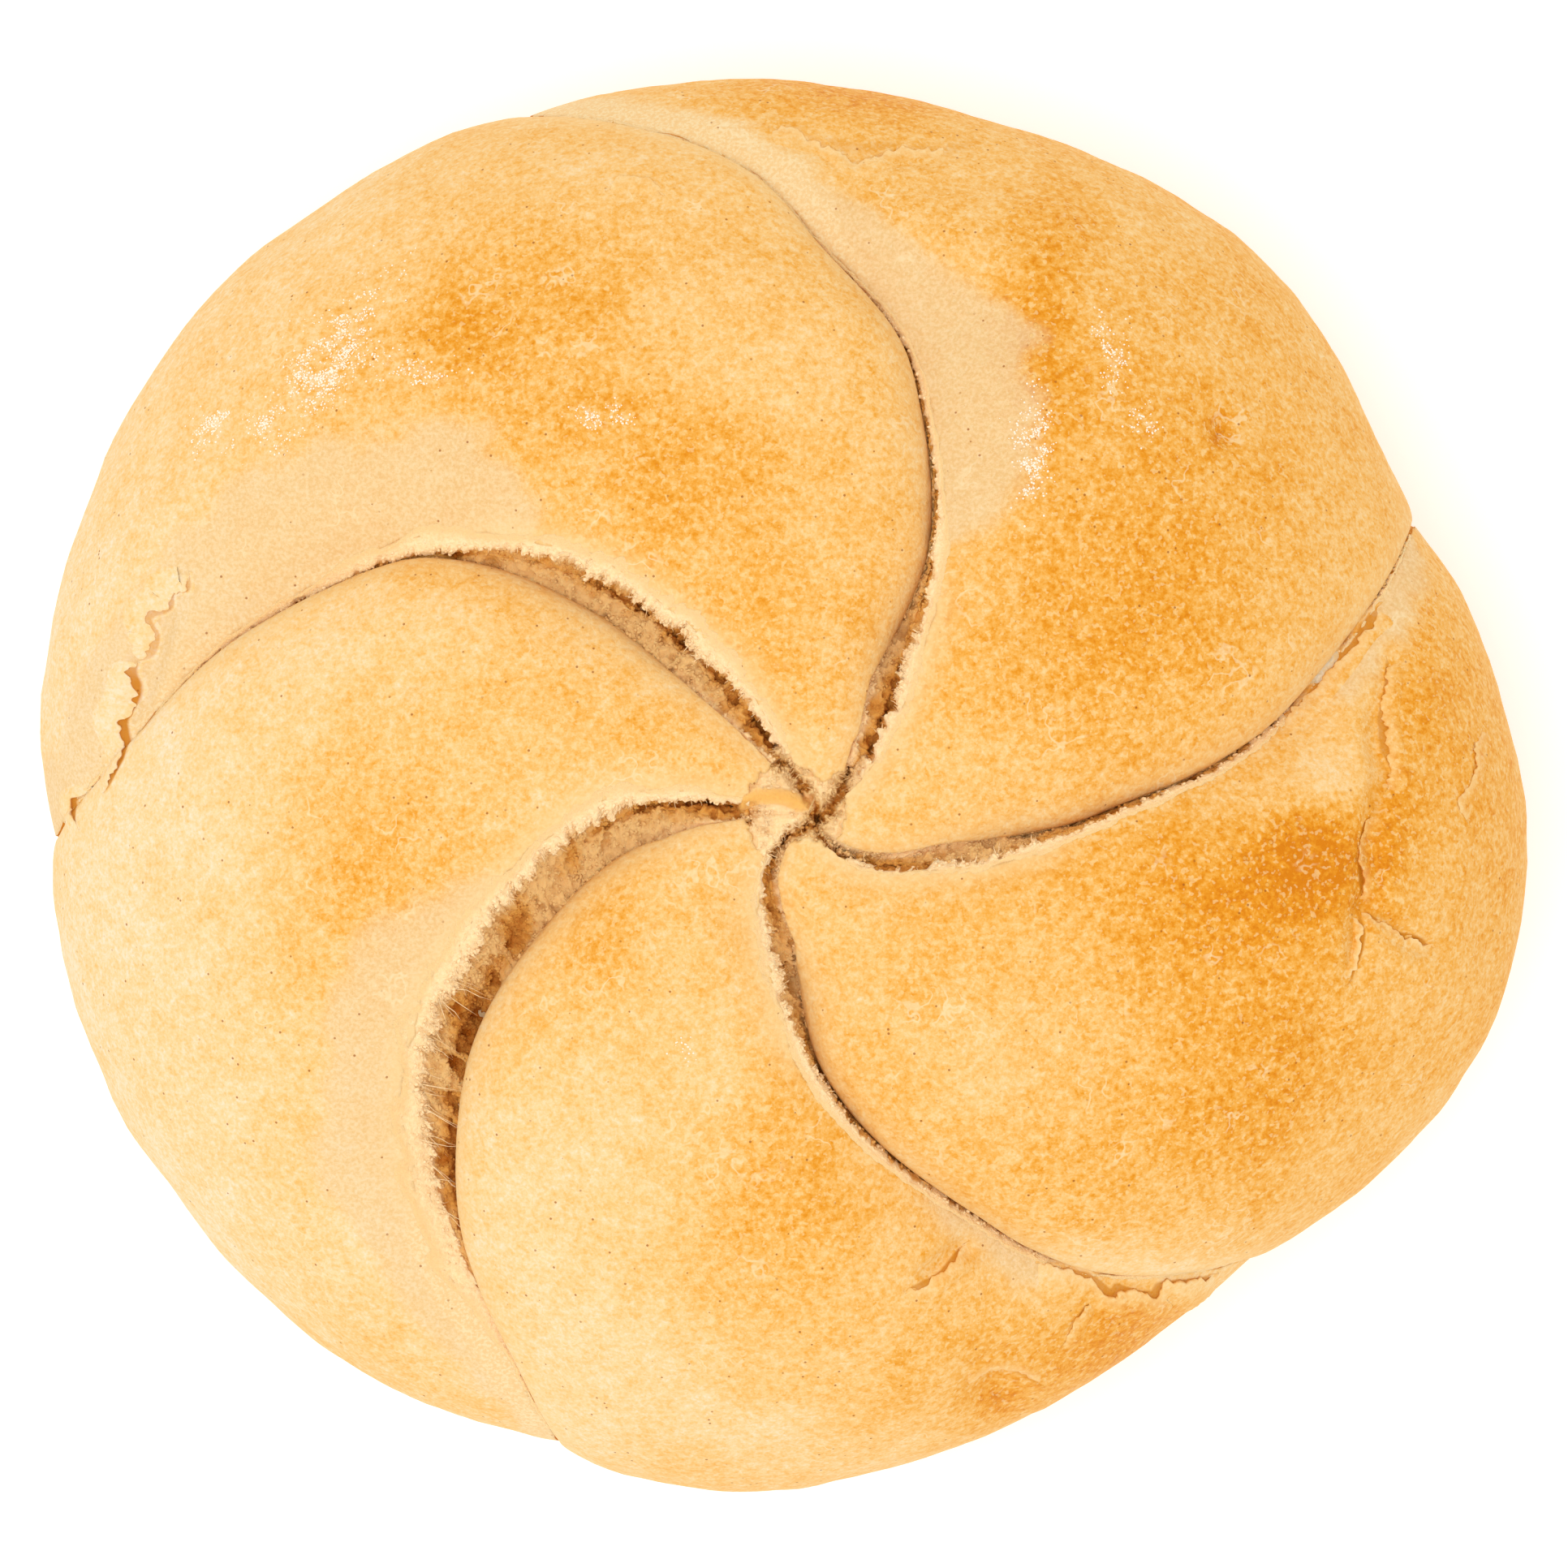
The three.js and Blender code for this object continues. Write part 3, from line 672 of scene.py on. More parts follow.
def marks_depth(plan):
    """The depth of creases and dents at places in the plan, and the painted shade along a crease's
    line.
    """
    depth_here = np.zeros(len(plan))
    crease = np.zeros(len(plan))
    for start, end, bow, depth, width in CREASES:
        start = np.array(start, float)
        run = np.array(end, float) - start
        length = np.hypot(*run)
        away = plan - start
        along = away @ run / length**2
        t = np.clip(along, 0, 1)
        arc = 4 * t * (1 - t)
        wander = CREASE_WANDER[0] * lumps(on_line(along * length), CREASE_WANDER[1], 11)
        aside = (run[0] * away[:, 1] - run[1] * away[:, 0]) / length - bow * arc + wander
        far = np.hypot(aside, (along - t) * length)
        end_share = np.minimum(1, CREASE_END + arc)
        depth_here += depth * bell(far, width) * end_share
        crease = np.maximum(crease, CREASE_SHADE * bell(far, CREASE_SHADE_WIDTH) * end_share)
    for place, radius, depth in DENTS:
        far = np.hypot(*(plan - np.array(place, float)).T)
        depth_here += depth * bell(far, radius)
    return depth_here, crease


def place_on(bearing, profile, height, marks=True):
    """Points at heights over the plain body, in millimetres about the swirl's own origin."""
    out, level, outward, upward = body_point(bearing, profile)
    angle = np.radians(bearing)
    ray = np.stack([np.cos(angle), np.sin(angle)], axis=-1)
    plan = SWIRL_CENTRE + out[..., None] * ray
    lift = height
    if marks:
        depth, _ = marks_depth(plan.reshape(-1, 2))
        lift = height - depth.reshape(height.shape) * np.clip(upward + outward / 2, 0, 1)
    plan = plan + (lift * outward)[..., None] * ray
    return np.concatenate([plan, (level + lift * upward)[..., None]], axis=-1)


def normal_on(bearing, profile):
    _, _, outward, upward = body_point(bearing, profile)
    angle = np.radians(bearing)
    return np.stack([outward * np.cos(angle), outward * np.sin(angle), upward], axis=-1)


def ragged(along, seed, coarse=0.3, fine=0.16):
    """How far a torn edge wanders, at distances along it."""
    return layered(on_line(along), (
        (coarse, 3.1, seed), (0.7 * coarse, 1.3, seed + 1),
        (fine, 0.5, seed + 2), (0.7 * fine, 0.24, seed + 3),
    ))


# Making meshes and objects

def centred(points):
    """Moves points from the swirl's own origin to the frame's, in metres."""
    return (points - np.array([*ORIGIN_SHIFT, 0])) * MM


def new_piece(name, points, faces, material, attributes=None):
    """A mesh object at the origin, with its vertices in the frame's metres."""
    mesh = bpy.data.meshes.new(name)
    mesh.from_pydata(centred(points), [], faces)
    mesh.update()
    for label, values in (attributes or {}).items():
        values = np.asarray(values, np.float32)
        kind, field = ("FLOAT", "value") if values.ndim == 1 else ("FLOAT_VECTOR", "vector")
        mesh.attributes.new(label, kind, "POINT").data.foreach_set(field, values.ravel())
    piece = bpy.data.objects.new(name, mesh)
    bpy.context.scene.collection.objects.link(piece)
    mesh.materials.append(material)
    mesh.shade_smooth()
    return piece


def keep_piece(piece, stands_for_roll=False):
    """Ties a finished piece to the frame."""
    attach(piece, BODY)
    if stands_for_roll:
        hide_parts(NODE)


# Crust

def top_profiles(step):
    """Profiles from the pit to the rim, evenly spaced over the dome."""
    profile = np.linspace(PIT_PROFILE, 0, 4000)
    out, height, _, _ = body_point(np.full_like(profile, 90.0), profile)
    finer = lerp(MIDDLE_STEPS, 1, smoothstep(out, *MIDDLE_WIDENS))
    run = np.r_[0, np.cumsum(np.hypot(np.diff(out), np.diff(height)) / finer[1:])]
    return np.interp(np.linspace(0, run[-1], int(run[-1] / step)), run, profile)


def side_profiles(step):
    """Profiles from below the rim to the foot's edge."""
    profile = np.linspace(0, -90, 2000)
    out, height, _, _ = body_point(np.full_like(profile, 90.0), profile)
    run = np.r_[0, np.cumsum(np.hypot(np.diff(out), np.diff(height)))]
    return np.interp(np.linspace(0, run[-1], int(run[-1] / step))[1:], run, profile)


def tip_sinks(petal, row, bearings, smooth_edge, torn_edge):
    """How far a petal's crust drops at its ragged tip, on one ring."""
    tip, point = petal.tip
    out = petal.out[row]
    if out > tip + point + 2:
        return np.zeros(len(bearings))
    aside = np.clip(np.abs(2 * (bearings - smooth_edge) / (torn_edge - smooth_edge) - 1), 0, 1)
    angle = np.radians(bearings)
    spot = np.c_[out * np.cos(angle), out * np.sin(angle), 0 * angle]
    rough = layered(spot, TIP_ROUGHNESS)
    return TIP_SINKS * (1 - smoothstep(out - point * aside**1.5 + rough - tip, *TIP_EDGE))


def petal_row(petal, number, row, step, wander):
    """One petal's stretch of one ring: places, bearings and heights."""
    tight = petal.tight[row]
    low_step = petal.low_step[row] * tight
    high_step = petal.high_step[row] * tight
    low_depth = petal.low["depth"][row] * petal.strength[row] * petal.shallow[row]
    high_depth = petal.high["depth"][row] * petal.strength[row] * petal.shallow[row]
    start, end = petal.start[row], petal.end[row]
    rough_smooth = 0.8 * petal.low["bare"][row] * wander
    smooth_edge = start + (petal.smooth_edge[row] + rough_smooth) * low_step
    torn_edge = end - (petal.torn_edge[row] + wander) * high_step
    low_crust = petal.crust(np.array([smooth_edge]), row)[0]
    high_crust = petal.crust(np.array([torn_edge]), row)[0]

    bearings = [start]
    drops = [low_crust - low_depth]
    for under, down in SMOOTH_WALL:
        bearings.append(smooth_edge + under * petal.low["torn"][row] * low_step)
        drops.append(low_crust - down * low_depth)
    wall = len(bearings)
    bearings.append(smooth_edge)
    bearings += [smooth_edge + s * low_step for s in SMOOTH_EDGE_STEPS]
    edge_places = np.linspace(0, FIELD_PLACES[0], len(bearings))

    field_start = bearings[-1]
    field_end = torn_edge - TORN_EDGE_STEPS[0] * high_step
    width = (field_end - field_start) / low_step * tight
    count = max(1, int(round(width / step)) - 1)
    t = np.arange(1, count + 1) / (count + 1)
    field = lerp(field_start, field_end, t)

    torn = [torn_edge - s * high_step for s in TORN_EDGE_STEPS] + [torn_edge]
    crust_bearings = np.r_[bearings[wall:], field, torn]
    crust_heights = petal.crust(crust_bearings, row)
    torn_walls = [torn_edge - under * petal.high["torn"][row] * high_step for under, _ in TORN_WALL]
    torn_drops = [high_crust - down * high_depth for _, down in TORN_WALL]

    last_places = np.linspace(FIELD_PLACES[1], PETAL_PLACES, len(torn) + len(TORN_WALL) + 1)
    places = np.r_[edge_places, lerp(*FIELD_PLACES, t), last_places[:-1]]
    all_bearings = np.r_[bearings[:wall], crust_bearings, torn_walls]
    heights = np.r_[drops, crust_heights, torn_drops]
    heights = heights - tip_sinks(petal, row, all_bearings, smooth_edge, torn_edge)
    on_crust = np.zeros(len(all_bearings))
    on_crust[wall:wall + len(crust_bearings)] = 1
    from_smooth, from_torn = petal.distances(all_bearings, row)
    # Below the rim the seams run out and the columns spread evenly.
    spread = 1 - smoothstep(petal.profile[row], *COLUMNS_EVEN)
    even = lerp(start, end, np.arange(len(all_bearings)) / len(all_bearings))
    facts = {
        "place": number * PETAL_PLACES + places,
        "bearing": lerp(all_bearings, even, spread),
        "height": heights,
        "crust": on_crust,
        "from_smooth": from_smooth,
        "from_torn": from_torn - (petal.torn_edge[row] - petal.high["gap"][row] / 2) * tight,
    }
    for key, value in (
        ("petal", number), ("profile", petal.profile[row]), ("share", petal.share[row]),
        ("torn", petal.high["torn"][row]),
    ):
        facts[key] = np.full(len(all_bearings), value)
    return facts


def zip_rings(inner, outer, turn):
    """Triangles between two rings, walking round both and taking the step that ends first."""
    faces = []
    inner_place, inner_index = inner
    outer_place, outer_index = outer
    n, m = len(inner_place), len(outer_place)
    i = j = 0
    inner_next = list(inner_place[1:]) + [inner_place[0] + turn, math.inf]
    outer_next = list(outer_place[1:]) + [outer_place[0] + turn, math.inf]
    while i < n or j < m:
        a, b = inner_index[i % n], outer_index[j % m]
        if i < n and (j >= m or inner_next[i] <= outer_next[j]):
            i += 1
            faces.append((a, b, inner_index[i % n]))
        else:
            j += 1
            faces.append((a, b, outer_index[j % m]))
    return faces


def crust_rows(quick):
    """All the rings of the crust, as arrays for each of a point's facts."""
    coarser = 2 if quick else 1
    profiles = np.r_[top_profiles(CRUST_STEP * coarser), side_profiles(SIDE_STEP * coarser)]
    petals = [Petal(n, profiles) for n in range(len(SEAMS))]
    wanders = []
    for n, petal in enumerate(petals):
        along = np.cumsum(np.r_[0, np.abs(np.diff(petal.out)) / petal.high["lie"][1:]])
        wander = ragged(along, 40 + 7 * n, 0.22, 0.12)
        wanders.append(np.where(petal.high["torn"] > 0.4, wander, 0.7 * np.abs(wander)))
    rows = []
    for row, profile in enumerate(profiles):
        step = CRUST_STEP * coarser if profile >= 0 else SIDE_STEP * coarser
        parts = [
            petal_row(petal, n, row, step, wanders[n][row]) for n, petal in enumerate(petals)
        ]
        rows.append({key: np.concatenate([p[key] for p in parts]) for key in parts[0]})
    return rows


def swell(points, from_edge, skin=0.0):
    """How far dough lumps and fine wrinkles lift the crust, less so near its torn edges."""
    lift = sum(height * lumps(points, size, seed) * (1 - smoothed * skin)
               for height, size, seed, smoothed in DOUGH)
    calm = lerp(EDGE_SWELL, 1, smoothstep(from_edge, 0, DOUGH_CALM))
    return lift * calm * smoothstep(points[:, 2], *DOUGH_STARTS)


def crust_at(plan):
    """Points on the crust, and the body's normals, at places in the plan."""
    away = plan - SWIRL_CENTRE
    bearing = np.degrees(np.arctan2(away[:, 1], away[:, 0]))
    profile = profile_of(np.hypot(away[:, 0], away[:, 1]) / outline_radius(bearing))
    height = np.zeros(len(plan))
    from_edge = np.zeros(len(plan))
    for number in range(len(SEAMS)):
        petal = Petal(number, profile)
        here, turned = petal.holds(bearing)
        height = np.where(here, petal.crust(turned), height)
        from_smooth, from_torn = petal.distances(turned)
        nearest = np.minimum(from_smooth, from_torn - petal.high["fringe"])
        from_edge = np.where(here, nearest, from_edge)
    points = place_on(bearing, profile, height)
    normals = normal_on(bearing, profile)
    return points + normals * swell(points, from_edge)[:, None], normals


def band_share(facts, band, soft, wander):
    """How far each point lies in the band that runs along its petal's torn edge."""
    within = np.zeros(len(facts["share"]))
    for n in range(len(SEAMS)):
        start, end, width = getattr(SEAMS[(n + 1) % len(SEAMS)], band)
        here = facts["petal"] == n
        t = np.clip((facts["share"][here] - start) / (end - start), 0, 1)
        reach = width * np.sin(np.pi * t) ** 0.6 + wander[here] * (t > 0) * (t < 1)
        within[here] = 1 - smoothstep(facts["from_torn"][here], reach - soft, reach + soft)
        within[here] *= smoothstep(reach, 0.1, 0.8)
    return within


def browning(plan, points):
    """How brown the crust is at each point, from 0 to about 1."""
    brown = np.full(len(plan), BROWN_BASE)
    brown += PALE_SIDE * smoothstep(-plan[:, 0], *PALE_SIDE_FROM)
    for place, spread, turn, more in BROWN_PATCHES:
        brown += more * in_patch(plan, place, spread, turn)
    return brown + layered(points, BROWN_CLOUDS)


def crust_surface(quick):
    """Points, faces and colour facts of the whole crust."""
    rows = crust_rows(quick)
    facts = {key: np.concatenate([r[key] for r in rows]) for key in rows[0]}
    starts = np.cumsum([0] + [len(r["place"]) for r in rows])
    points = place_on(facts["bearing"], facts["profile"], facts["height"])
    normals = normal_on(facts["bearing"], facts["profile"])
    on_top = smoothstep(points[:, 2], *MARKS_FROM)
    on_crust = facts["crust"]
    wander = layered(points, BAND_WANDER)
    skin = band_share(facts, "skin", SKIN_SOFTNESS, wander)
    raw = band_share(facts, "raw", RAW_SOFTNESS, RAW_WANDER * wander)
    raw = raw * smoothstep(points[:, 2], *RAW_FROM)

    from_edge = np.minimum(facts["from_smooth"], facts["from_torn"])
    points = points + normals * swell(points, from_edge, skin)[:, None]

    faces = []
    turn = len(SEAMS) * PETAL_PLACES
    rings = [(r["place"], range(starts[i], starts[i + 1])) for i, r in enumerate(rows)]
    for inner, outer in zip(rings, rings[1:]):
        faces += zip_rings(inner, outer, turn)
    pit, foot = len(points), len(points) + 1
    middle = ROLL_HEIGHT - STAMP_DIP_DEPTH - PIT_DEPTH
    points[starts[-2]:, 2] = 0
    points = np.vstack([points, [*SWIRL_CENTRE, middle], [*SWIRL_CENTRE, 0.0]])
    first, last = rings[0][1], rings[-1][1]
    faces += [(pit, a, b) for a, b in zip(first, [*first[1:], first[0]])]
    faces += [(foot, b, a) for a, b in zip(last, [*last[1:], last[0]])]

    plan = points[:-2, :2]
    _, crease = marks_depth(plan)
    brown = browning(plan, points[:-2])
    brown = lerp(brown, BROWN_FOOT, 1 - smoothstep(points[:-2, 2], *BROWN_FOOT_UNDER))
    pale_torn = bell(facts["from_torn"], PALE_TORN)
    pale_torn = pale_torn * smoothstep(facts["torn"], *PALE_WHERE_TORN)
    pale_smooth = PALE_SMOOTH_SHARE * bell(facts["from_smooth"], PALE_SMOOTH)
    pale = np.clip(pale_torn + pale_smooth, 0, 1) * on_top
    flour = sum(in_patch(plan, *where) for where in FLOUR)
    flour = flour * (points[:-2, 2] > FLOUR_ABOVE) * on_crust
    attributes = {
        "browning": brown,
        "skin": skin * on_top,
        "pale": pale,
        # Painted shade along the creases.
        "crease": crease * on_top,
        # Painted shade on the crust's walls down inside the seams.
        "inside": (1 - on_crust) * on_top * smoothstep(facts["profile"], *SEAM_RUNS_OUT),
        "raw": raw,
        "flour": flour,
    }
    return points, faces, {k: np.r_[v, 0, 0] for k, v in attributes.items()}


# Torn crumb

# The lining's section from under the torn crust to under the smooth one, where its floor lies
# under the torn crust and where it lies under the smooth one. Across, a point is so many gaps,
# fringes, bare widths and millimetres out. Down, it is so many depths and millimetres.
TORN_LIP = [
    (-0.5, -1, 0, -0.6, 0, 0.3), (-0.5, -1, 0, -0.1, 0, -0.02), (-0.5, -0.7, 0, 0, 0, -0.04),
    (-0.5, -0.35, 0, 0, 0, 0.1),
]
FLOOR_UNDER_TORN = np.array(TORN_LIP + [
    (-0.5, 0, 0, 0, 0.05, 0.25), (-0.5, 0, 0, 0, 0.3, 0.3), (-0.47, 0, 0, 0, 0.75, 0.2),
    (-0.38, 0, 0, 0, 1, 0.1), (-0.22, 0, 0, 0, 0.5, 0.1), (0.1, 0, 0, 0, 0.24, 0.1),
    (0.5, 0, 0, 0, 0.02, 0.04), (0.5, 0, 1, 0, 0, 0), (0.5, 0, 1, 0.7, 0, 0.35),
])
FLOOR_UNDER_SMOOTH = np.array(TORN_LIP + [
    (-0.5, 0, 0, 0, 0.04, 0.2), (-0.4, 0, 0, 0, 0.14, 0.25), (-0.2, 0, 0, 0, 0.26, 0.2),
    (0.02, 0, 0, 0, 0.42, 0.15), (0.26, 0, 0, 0, 1, 0.1), (0.5, 0, 0, 0.1, 0.8, 0),
    (0.5, 0, 0.4, 0.25, 0.3, 0.2), (0.5, 0, 1, 0.1, 0.02, 0.1), (0.5, 0, 1, 0.7, 0, 0.35),
])
# Places along the section, counted in the rows of those lists: where its three rough edges lie,
# where things grow and how widely, and the rows between which each look comes in or ends.
LIP, LINING_START, SMOOTH_SIDE = 4.0, 1.0, 10.6
FRINGE_ROW, GRAINS_ROW = (3.7, 0.8), (4.1, 0.8)
STRANDS_ROW, SIDE_GRAINS_ROW = (3.9, 0.6), (10.6, 0.9)
INSIDE_STARTS, INSIDE_ENDS = (4.2, 6), (10.4, 11.2)
RELIEF_BEGINS, RELIEF_ENDS = (0.4, 2.4), (11.0, 11.8)
CRUST_COLOUR_ENDS = (1.4, 2.9)
SMOOTH_COLOUR_STARTS = (10.0, 11.4)
SLOPE_STARTS, SLOPE_FADES = (3.7, 5.6), (9.2, 10.4)
MIDDLE_ROW = 6  # fibres reach across the seam from both sides of this row
CRUMB_DEPTH = 2.2
WIDE_GAP = 2.2  # a seam this wide or wider has all of that depth
SHUT_CRUMB_DEPTH = 0.85
SPANNED_DEPTH = 1.7  # how many times deeper it is under the strands
STRANDS_FADE = 0.1  # the share over which they set in and end
CRUMB_STEP = 0.12
CRUMB_COLUMNS = 84
CRUMB_SHARES = (0.085, 0.985)
SHUT_CRUMB_RELIEF = 0.4
LIP_RELIEF = 0.3  # how much of the relief inside the seam its lips have
PIT_RELIEF = 0.7  # how deep the bubbles are
RIDGES = 0.25  # how high the ridges are
RIDGE_SIZE = 0.6
STRAND_SIZE = (0.35, 1.6, 1)  # along the seam, across it and down


class Lining:
    """The crumb that lines one seam, in rows along the seam and columns across it."""

    def __init__(self, number, quick):
        coarser = 2 if quick else 1
        self.seam = SEAMS[number]
        self.seed = 200 + 31 * number
        self.along, self.profile = self.rows(CRUMB_STEP * coarser)
        self.u = np.linspace(0, len(FLOOR_UNDER_TORN) - 1, CRUMB_COLUMNS // coarser)
        self.torn_petal = Petal((number - 1) % len(SEAMS), self.profile)
        self.smooth_petal = Petal(number, self.profile)
        self.share = self.torn_petal.share
        self.line = seam_at(self.seam, self.share)
        self.spots = on_line(self.along)
        start, end = self.seam.strands
        self.spanned = smoothstep(self.share, start, start + STRANDS_FADE)
        self.spanned = self.spanned * (1 - smoothstep(self.share, end - STRANDS_FADE, end))

    def rows(self, step):
        """The distance along the seam and the profile of each row."""
        shares = np.linspace(*CRUMB_SHARES, 4000)
        profile = profile_of(shares)
        bearing = seam_at(self.seam, shares)["bearing"]
        out, level, _, _ = body_point(bearing, profile)
        angle = np.radians(bearing)
        run = run_along(np.stack([out * np.cos(angle), out * np.sin(angle), level], axis=1))
        along = np.linspace(0, run[-1], int(run[-1] / step))
        return along, profile_of(np.interp(along, run, shares))

    def by_column(self, values):
        return np.tile(values, len(self.along))

    def by_row(self, values):
        return np.repeat(values, len(self.u))

    def near_row(self, place):
        """1 at a row of the section, falling to 0 beside it."""
        row, width = place
        return self.by_column(bell(self.u - row, width))

    def depth(self):
        """How deep the floor lies in each row."""
        seed = self.seed
        floor = 0.85 + layered(self.spots, ((0.4, 3.0, seed), (0.35, 1.1, seed + 1)))
        open_depth = CRUMB_DEPTH * min(1, self.seam.open_gap / WIDE_GAP) ** 1.5
        depth = lerp(SHUT_CRUMB_DEPTH, open_depth, self.line["torn"]) * np.clip(floor, 0.2, 1.4)
        depth = depth * lerp(1, SPANNED_DEPTH, self.spanned)
        return depth * self.torn_petal.strength * self.torn_petal.shallow

    def section(self):
        """How far across the seam and how far down each point lies."""
        seed, line = self.seed, self.line
        lean = lerp(*self.seam.lean, smoothstep(self.share, 0.15, self.seam.closes[0]))
        lean = np.clip(lean + 0.5 * lumps(self.spots, 5.0, seed + 2), -1, 1)
        under_torn, under_smooth = (
            curve_through(np.arange(len(corners)), corners, self.u)
            for corners in (FLOOR_UNDER_TORN, FLOOR_UNDER_SMOOTH)
        )
        section = lerp(under_torn[None], under_smooth[None], ((lean + 1) / 2)[:, None, None])
        gap = line["gap"][:, None]
        bare = line["bare"][:, None]
        torn = line["torn"][:, None]
        fringe = (line["fringe"] * (1 + 0.35 * lumps(self.spots, 2.4, seed + 3)))[:, None]
        widths = np.stack([gap, fringe, bare, np.ones_like(gap)], axis=-1)
        across = (section[..., :4] * widths).sum(axis=-1)
        for at, spread, step, coarse, fine, much in (
            (LIP, 1.3, 4, 0.24, 0.42, lerp(0.35, 1, torn)),
            (LINING_START, 1.0, 9, 0.2, 0.2, lerp(0.3, 1, torn)),
            (SMOOTH_SIDE, 0.8, 13, 0.2, 0.3, bare),
        ):
            rough = ragged(self.along, seed + step, coarse, fine)[:, None]
            across = across + bell(self.u - at, spread)[None] * rough * much
        down = section[..., 4] * self.depth()[:, None] + section[..., 5]
        return across, down

    def placed(self, across, down):
        """The lining's points without its relief."""
        torn_petal, smooth_petal = self.torn_petal, self.smooth_petal
        middle = self.line["bearing"][:, None]
        gap = self.line["gap"][:, None]
        torn_side = (torn_petal.tight * torn_petal.high_step)[:, None]
        smooth_side = (smooth_petal.tight * smooth_petal.low_step)[:, None]
        bearing = middle + across * np.where(across < 0, torn_side, smooth_side)
        torn_level = torn_petal.edge_heights()[1][:, None]
        smooth_level = smooth_petal.edge_heights()[0][:, None]
        between = lerp(torn_level, smooth_level, np.clip(across / gap + 0.5, 0, 1))
        # On the torn side the lining starts level with the crust that it comes out from.
        seen = np.where(torn_petal.end[:, None] - middle > 180, bearing + 360, bearing)
        crust_level = np.stack([torn_petal.crust(seen[r], r) for r in range(len(seen))])
        level = np.where(across < -gap / 2, crust_level, between)
        profile = np.broadcast_to(self.profile[:, None], bearing.shape)
        points = place_on(bearing, profile, level - down)
        lift = swell(points.reshape(-1, 3), np.zeros(points[..., 0].size)).reshape(bearing.shape)
        return points + normal_on(bearing, profile) * lift[..., None]

    def relief(self, flat, inside, outer):
        """Cotton-like relief, with bubbles in the deeper part, and the bubbles alone."""
        seed = self.seed
        strand_space = np.c_[
            self.by_row(self.along), self.by_column(self.u * 0.35), np.zeros(len(flat))
        ]
        relief = layered(flat, ((0.16, 1.1, seed + 20), (0.2, 0.55, seed + 21)))
        relief += ridged(strand_space, STRAND_SIZE, seed + 22)
        relief += ridged(flat, RIDGE_SIZE, seed + 25)
        relief += 0.14 * lumps(flat, 0.3, seed + 23)
        pits = 0.8 * bubbles(flat, 1.2, seed + 24, 0.3)
        pits = np.maximum(pits, 0.5 * bubbles(flat, 0.55, seed + 34, 0.35))
        return relief * lerp(LIP_RELIEF, 1, inside) * outer - PIT_RELIEF * pits * inside, pits

    def surface(self):
        """Points, faces and colour facts of the lining."""
        u, line = self.u, self.line
        across, down = self.section()
        points = self.placed(across, down)
        across_step = np.gradient(points, axis=1)
        normal = unit(np.cross(np.gradient(points, axis=0), across_step))
        if normal[..., 2].mean() < 0:
            normal = -normal
        inside = self.by_column(
            smoothstep(u, *INSIDE_STARTS) * (1 - smoothstep(u, *INSIDE_ENDS)))
        outer = self.by_column(
            smoothstep(u, *RELIEF_BEGINS) * (1 - smoothstep(u, *RELIEF_ENDS)))
        torn_here = self.by_row(lerp(SHUT_CRUMB_RELIEF, 1, line["torn"]))
        relief, pits = self.relief(points.reshape(-1, 3), inside, outer)
        points = points + normal * (relief * torn_here).reshape(across.shape)[..., None]

        torn = line["torn"][:, None]
        # Painted shade: the crumb's colour darkens the deeper it lies, under strands, and all the
        # more in narrow slits.
        narrow_slit_shade = np.maximum(1 - torn, 1 - smoothstep(self.share, 0.12, 0.3)[:, None])
        deep = down / CRUMB_DEPTH * (1 + 0.4 * self.spanned[:, None]) + 0.5 * narrow_slit_shade
        roomy = self.by_row(0.15 + 0.85 * smoothstep(self.share, 0.12, 0.26))
        bare = self.by_row(np.clip(line["bare"] * 1.5, 0, 1))
        lip_grains = self.near_row(GRAINS_ROW) + 0.4 * inside
        side_grains = bare * self.near_row(SIDE_GRAINS_ROW)
        reach = unit(across_step)
        reach = np.where((u < MIDDLE_ROW)[None, :, None], reach, -reach) + 0.35 * normal
        return close_lining(points, {
            "deep": np.clip(deep, 0, 1).reshape(-1),
            "near_crust": self.by_column(1 - smoothstep(u, *CRUST_COLOUR_ENDS)),
            "near_smooth": self.by_column(smoothstep(u, *SMOOTH_COLOUR_STARTS)),
            "slope": self.by_column(smoothstep(u, *SLOPE_STARTS))
            * (1 - 0.75 * bare * self.by_column(smoothstep(u, *SLOPE_FADES))),
            # The bubble pits are painted darker: painted shade.
            "pit": pits * inside,
            "golden": np.zeros(len(inside)),
            "fringe": self.near_row(FRINGE_ROW) * self.by_row(line["torn"]) * roomy,
            "grains": (lip_grains + side_grains) * outer * torn_here * roomy,
            "strands": self.near_row(STRANDS_ROW) * self.by_row(self.spanned),
            "reach": reach.reshape(-1, 3),
        })


def close_lining(grid, facts, under_by=None):
    """Closes a lining with an underside, and returns its points, faces and facts."""
    rows, columns, _ = grid.shape
    index = np.arange(rows * columns).reshape(rows, columns)
    under = np.arange(2 * rows).reshape(rows, 2) + rows * columns
    if under_by is None:
        low = grid[..., 2].min(axis=1) - 1.2
        bottom = np.stack([np.c_[grid[:, 0, :2], low], np.c_[grid[:, -1, :2], low]], axis=1)
    else:
        bottom = grid[:, [0, -1]] - under_by
    loop = np.c_[index, under[:, 1], under[:, 0]]
    ahead = np.roll(loop, -1, axis=1)
    faces = np.stack([loop[:-1], loop[1:], ahead[1:], ahead[:-1]], axis=-1).reshape(-1, 4).tolist()
    faces += [loop[0].tolist(), loop[-1].tolist()[::-1]]
    points = np.vstack([grid.reshape(-1, 3), bottom.reshape(-1, 3)])
    padding = {k: np.zeros((2 * rows, *v.shape[1:])) for k, v in facts.items()}
    return points, faces, {k: np.concatenate([v, padding[k]]) for k, v in facts.items()}


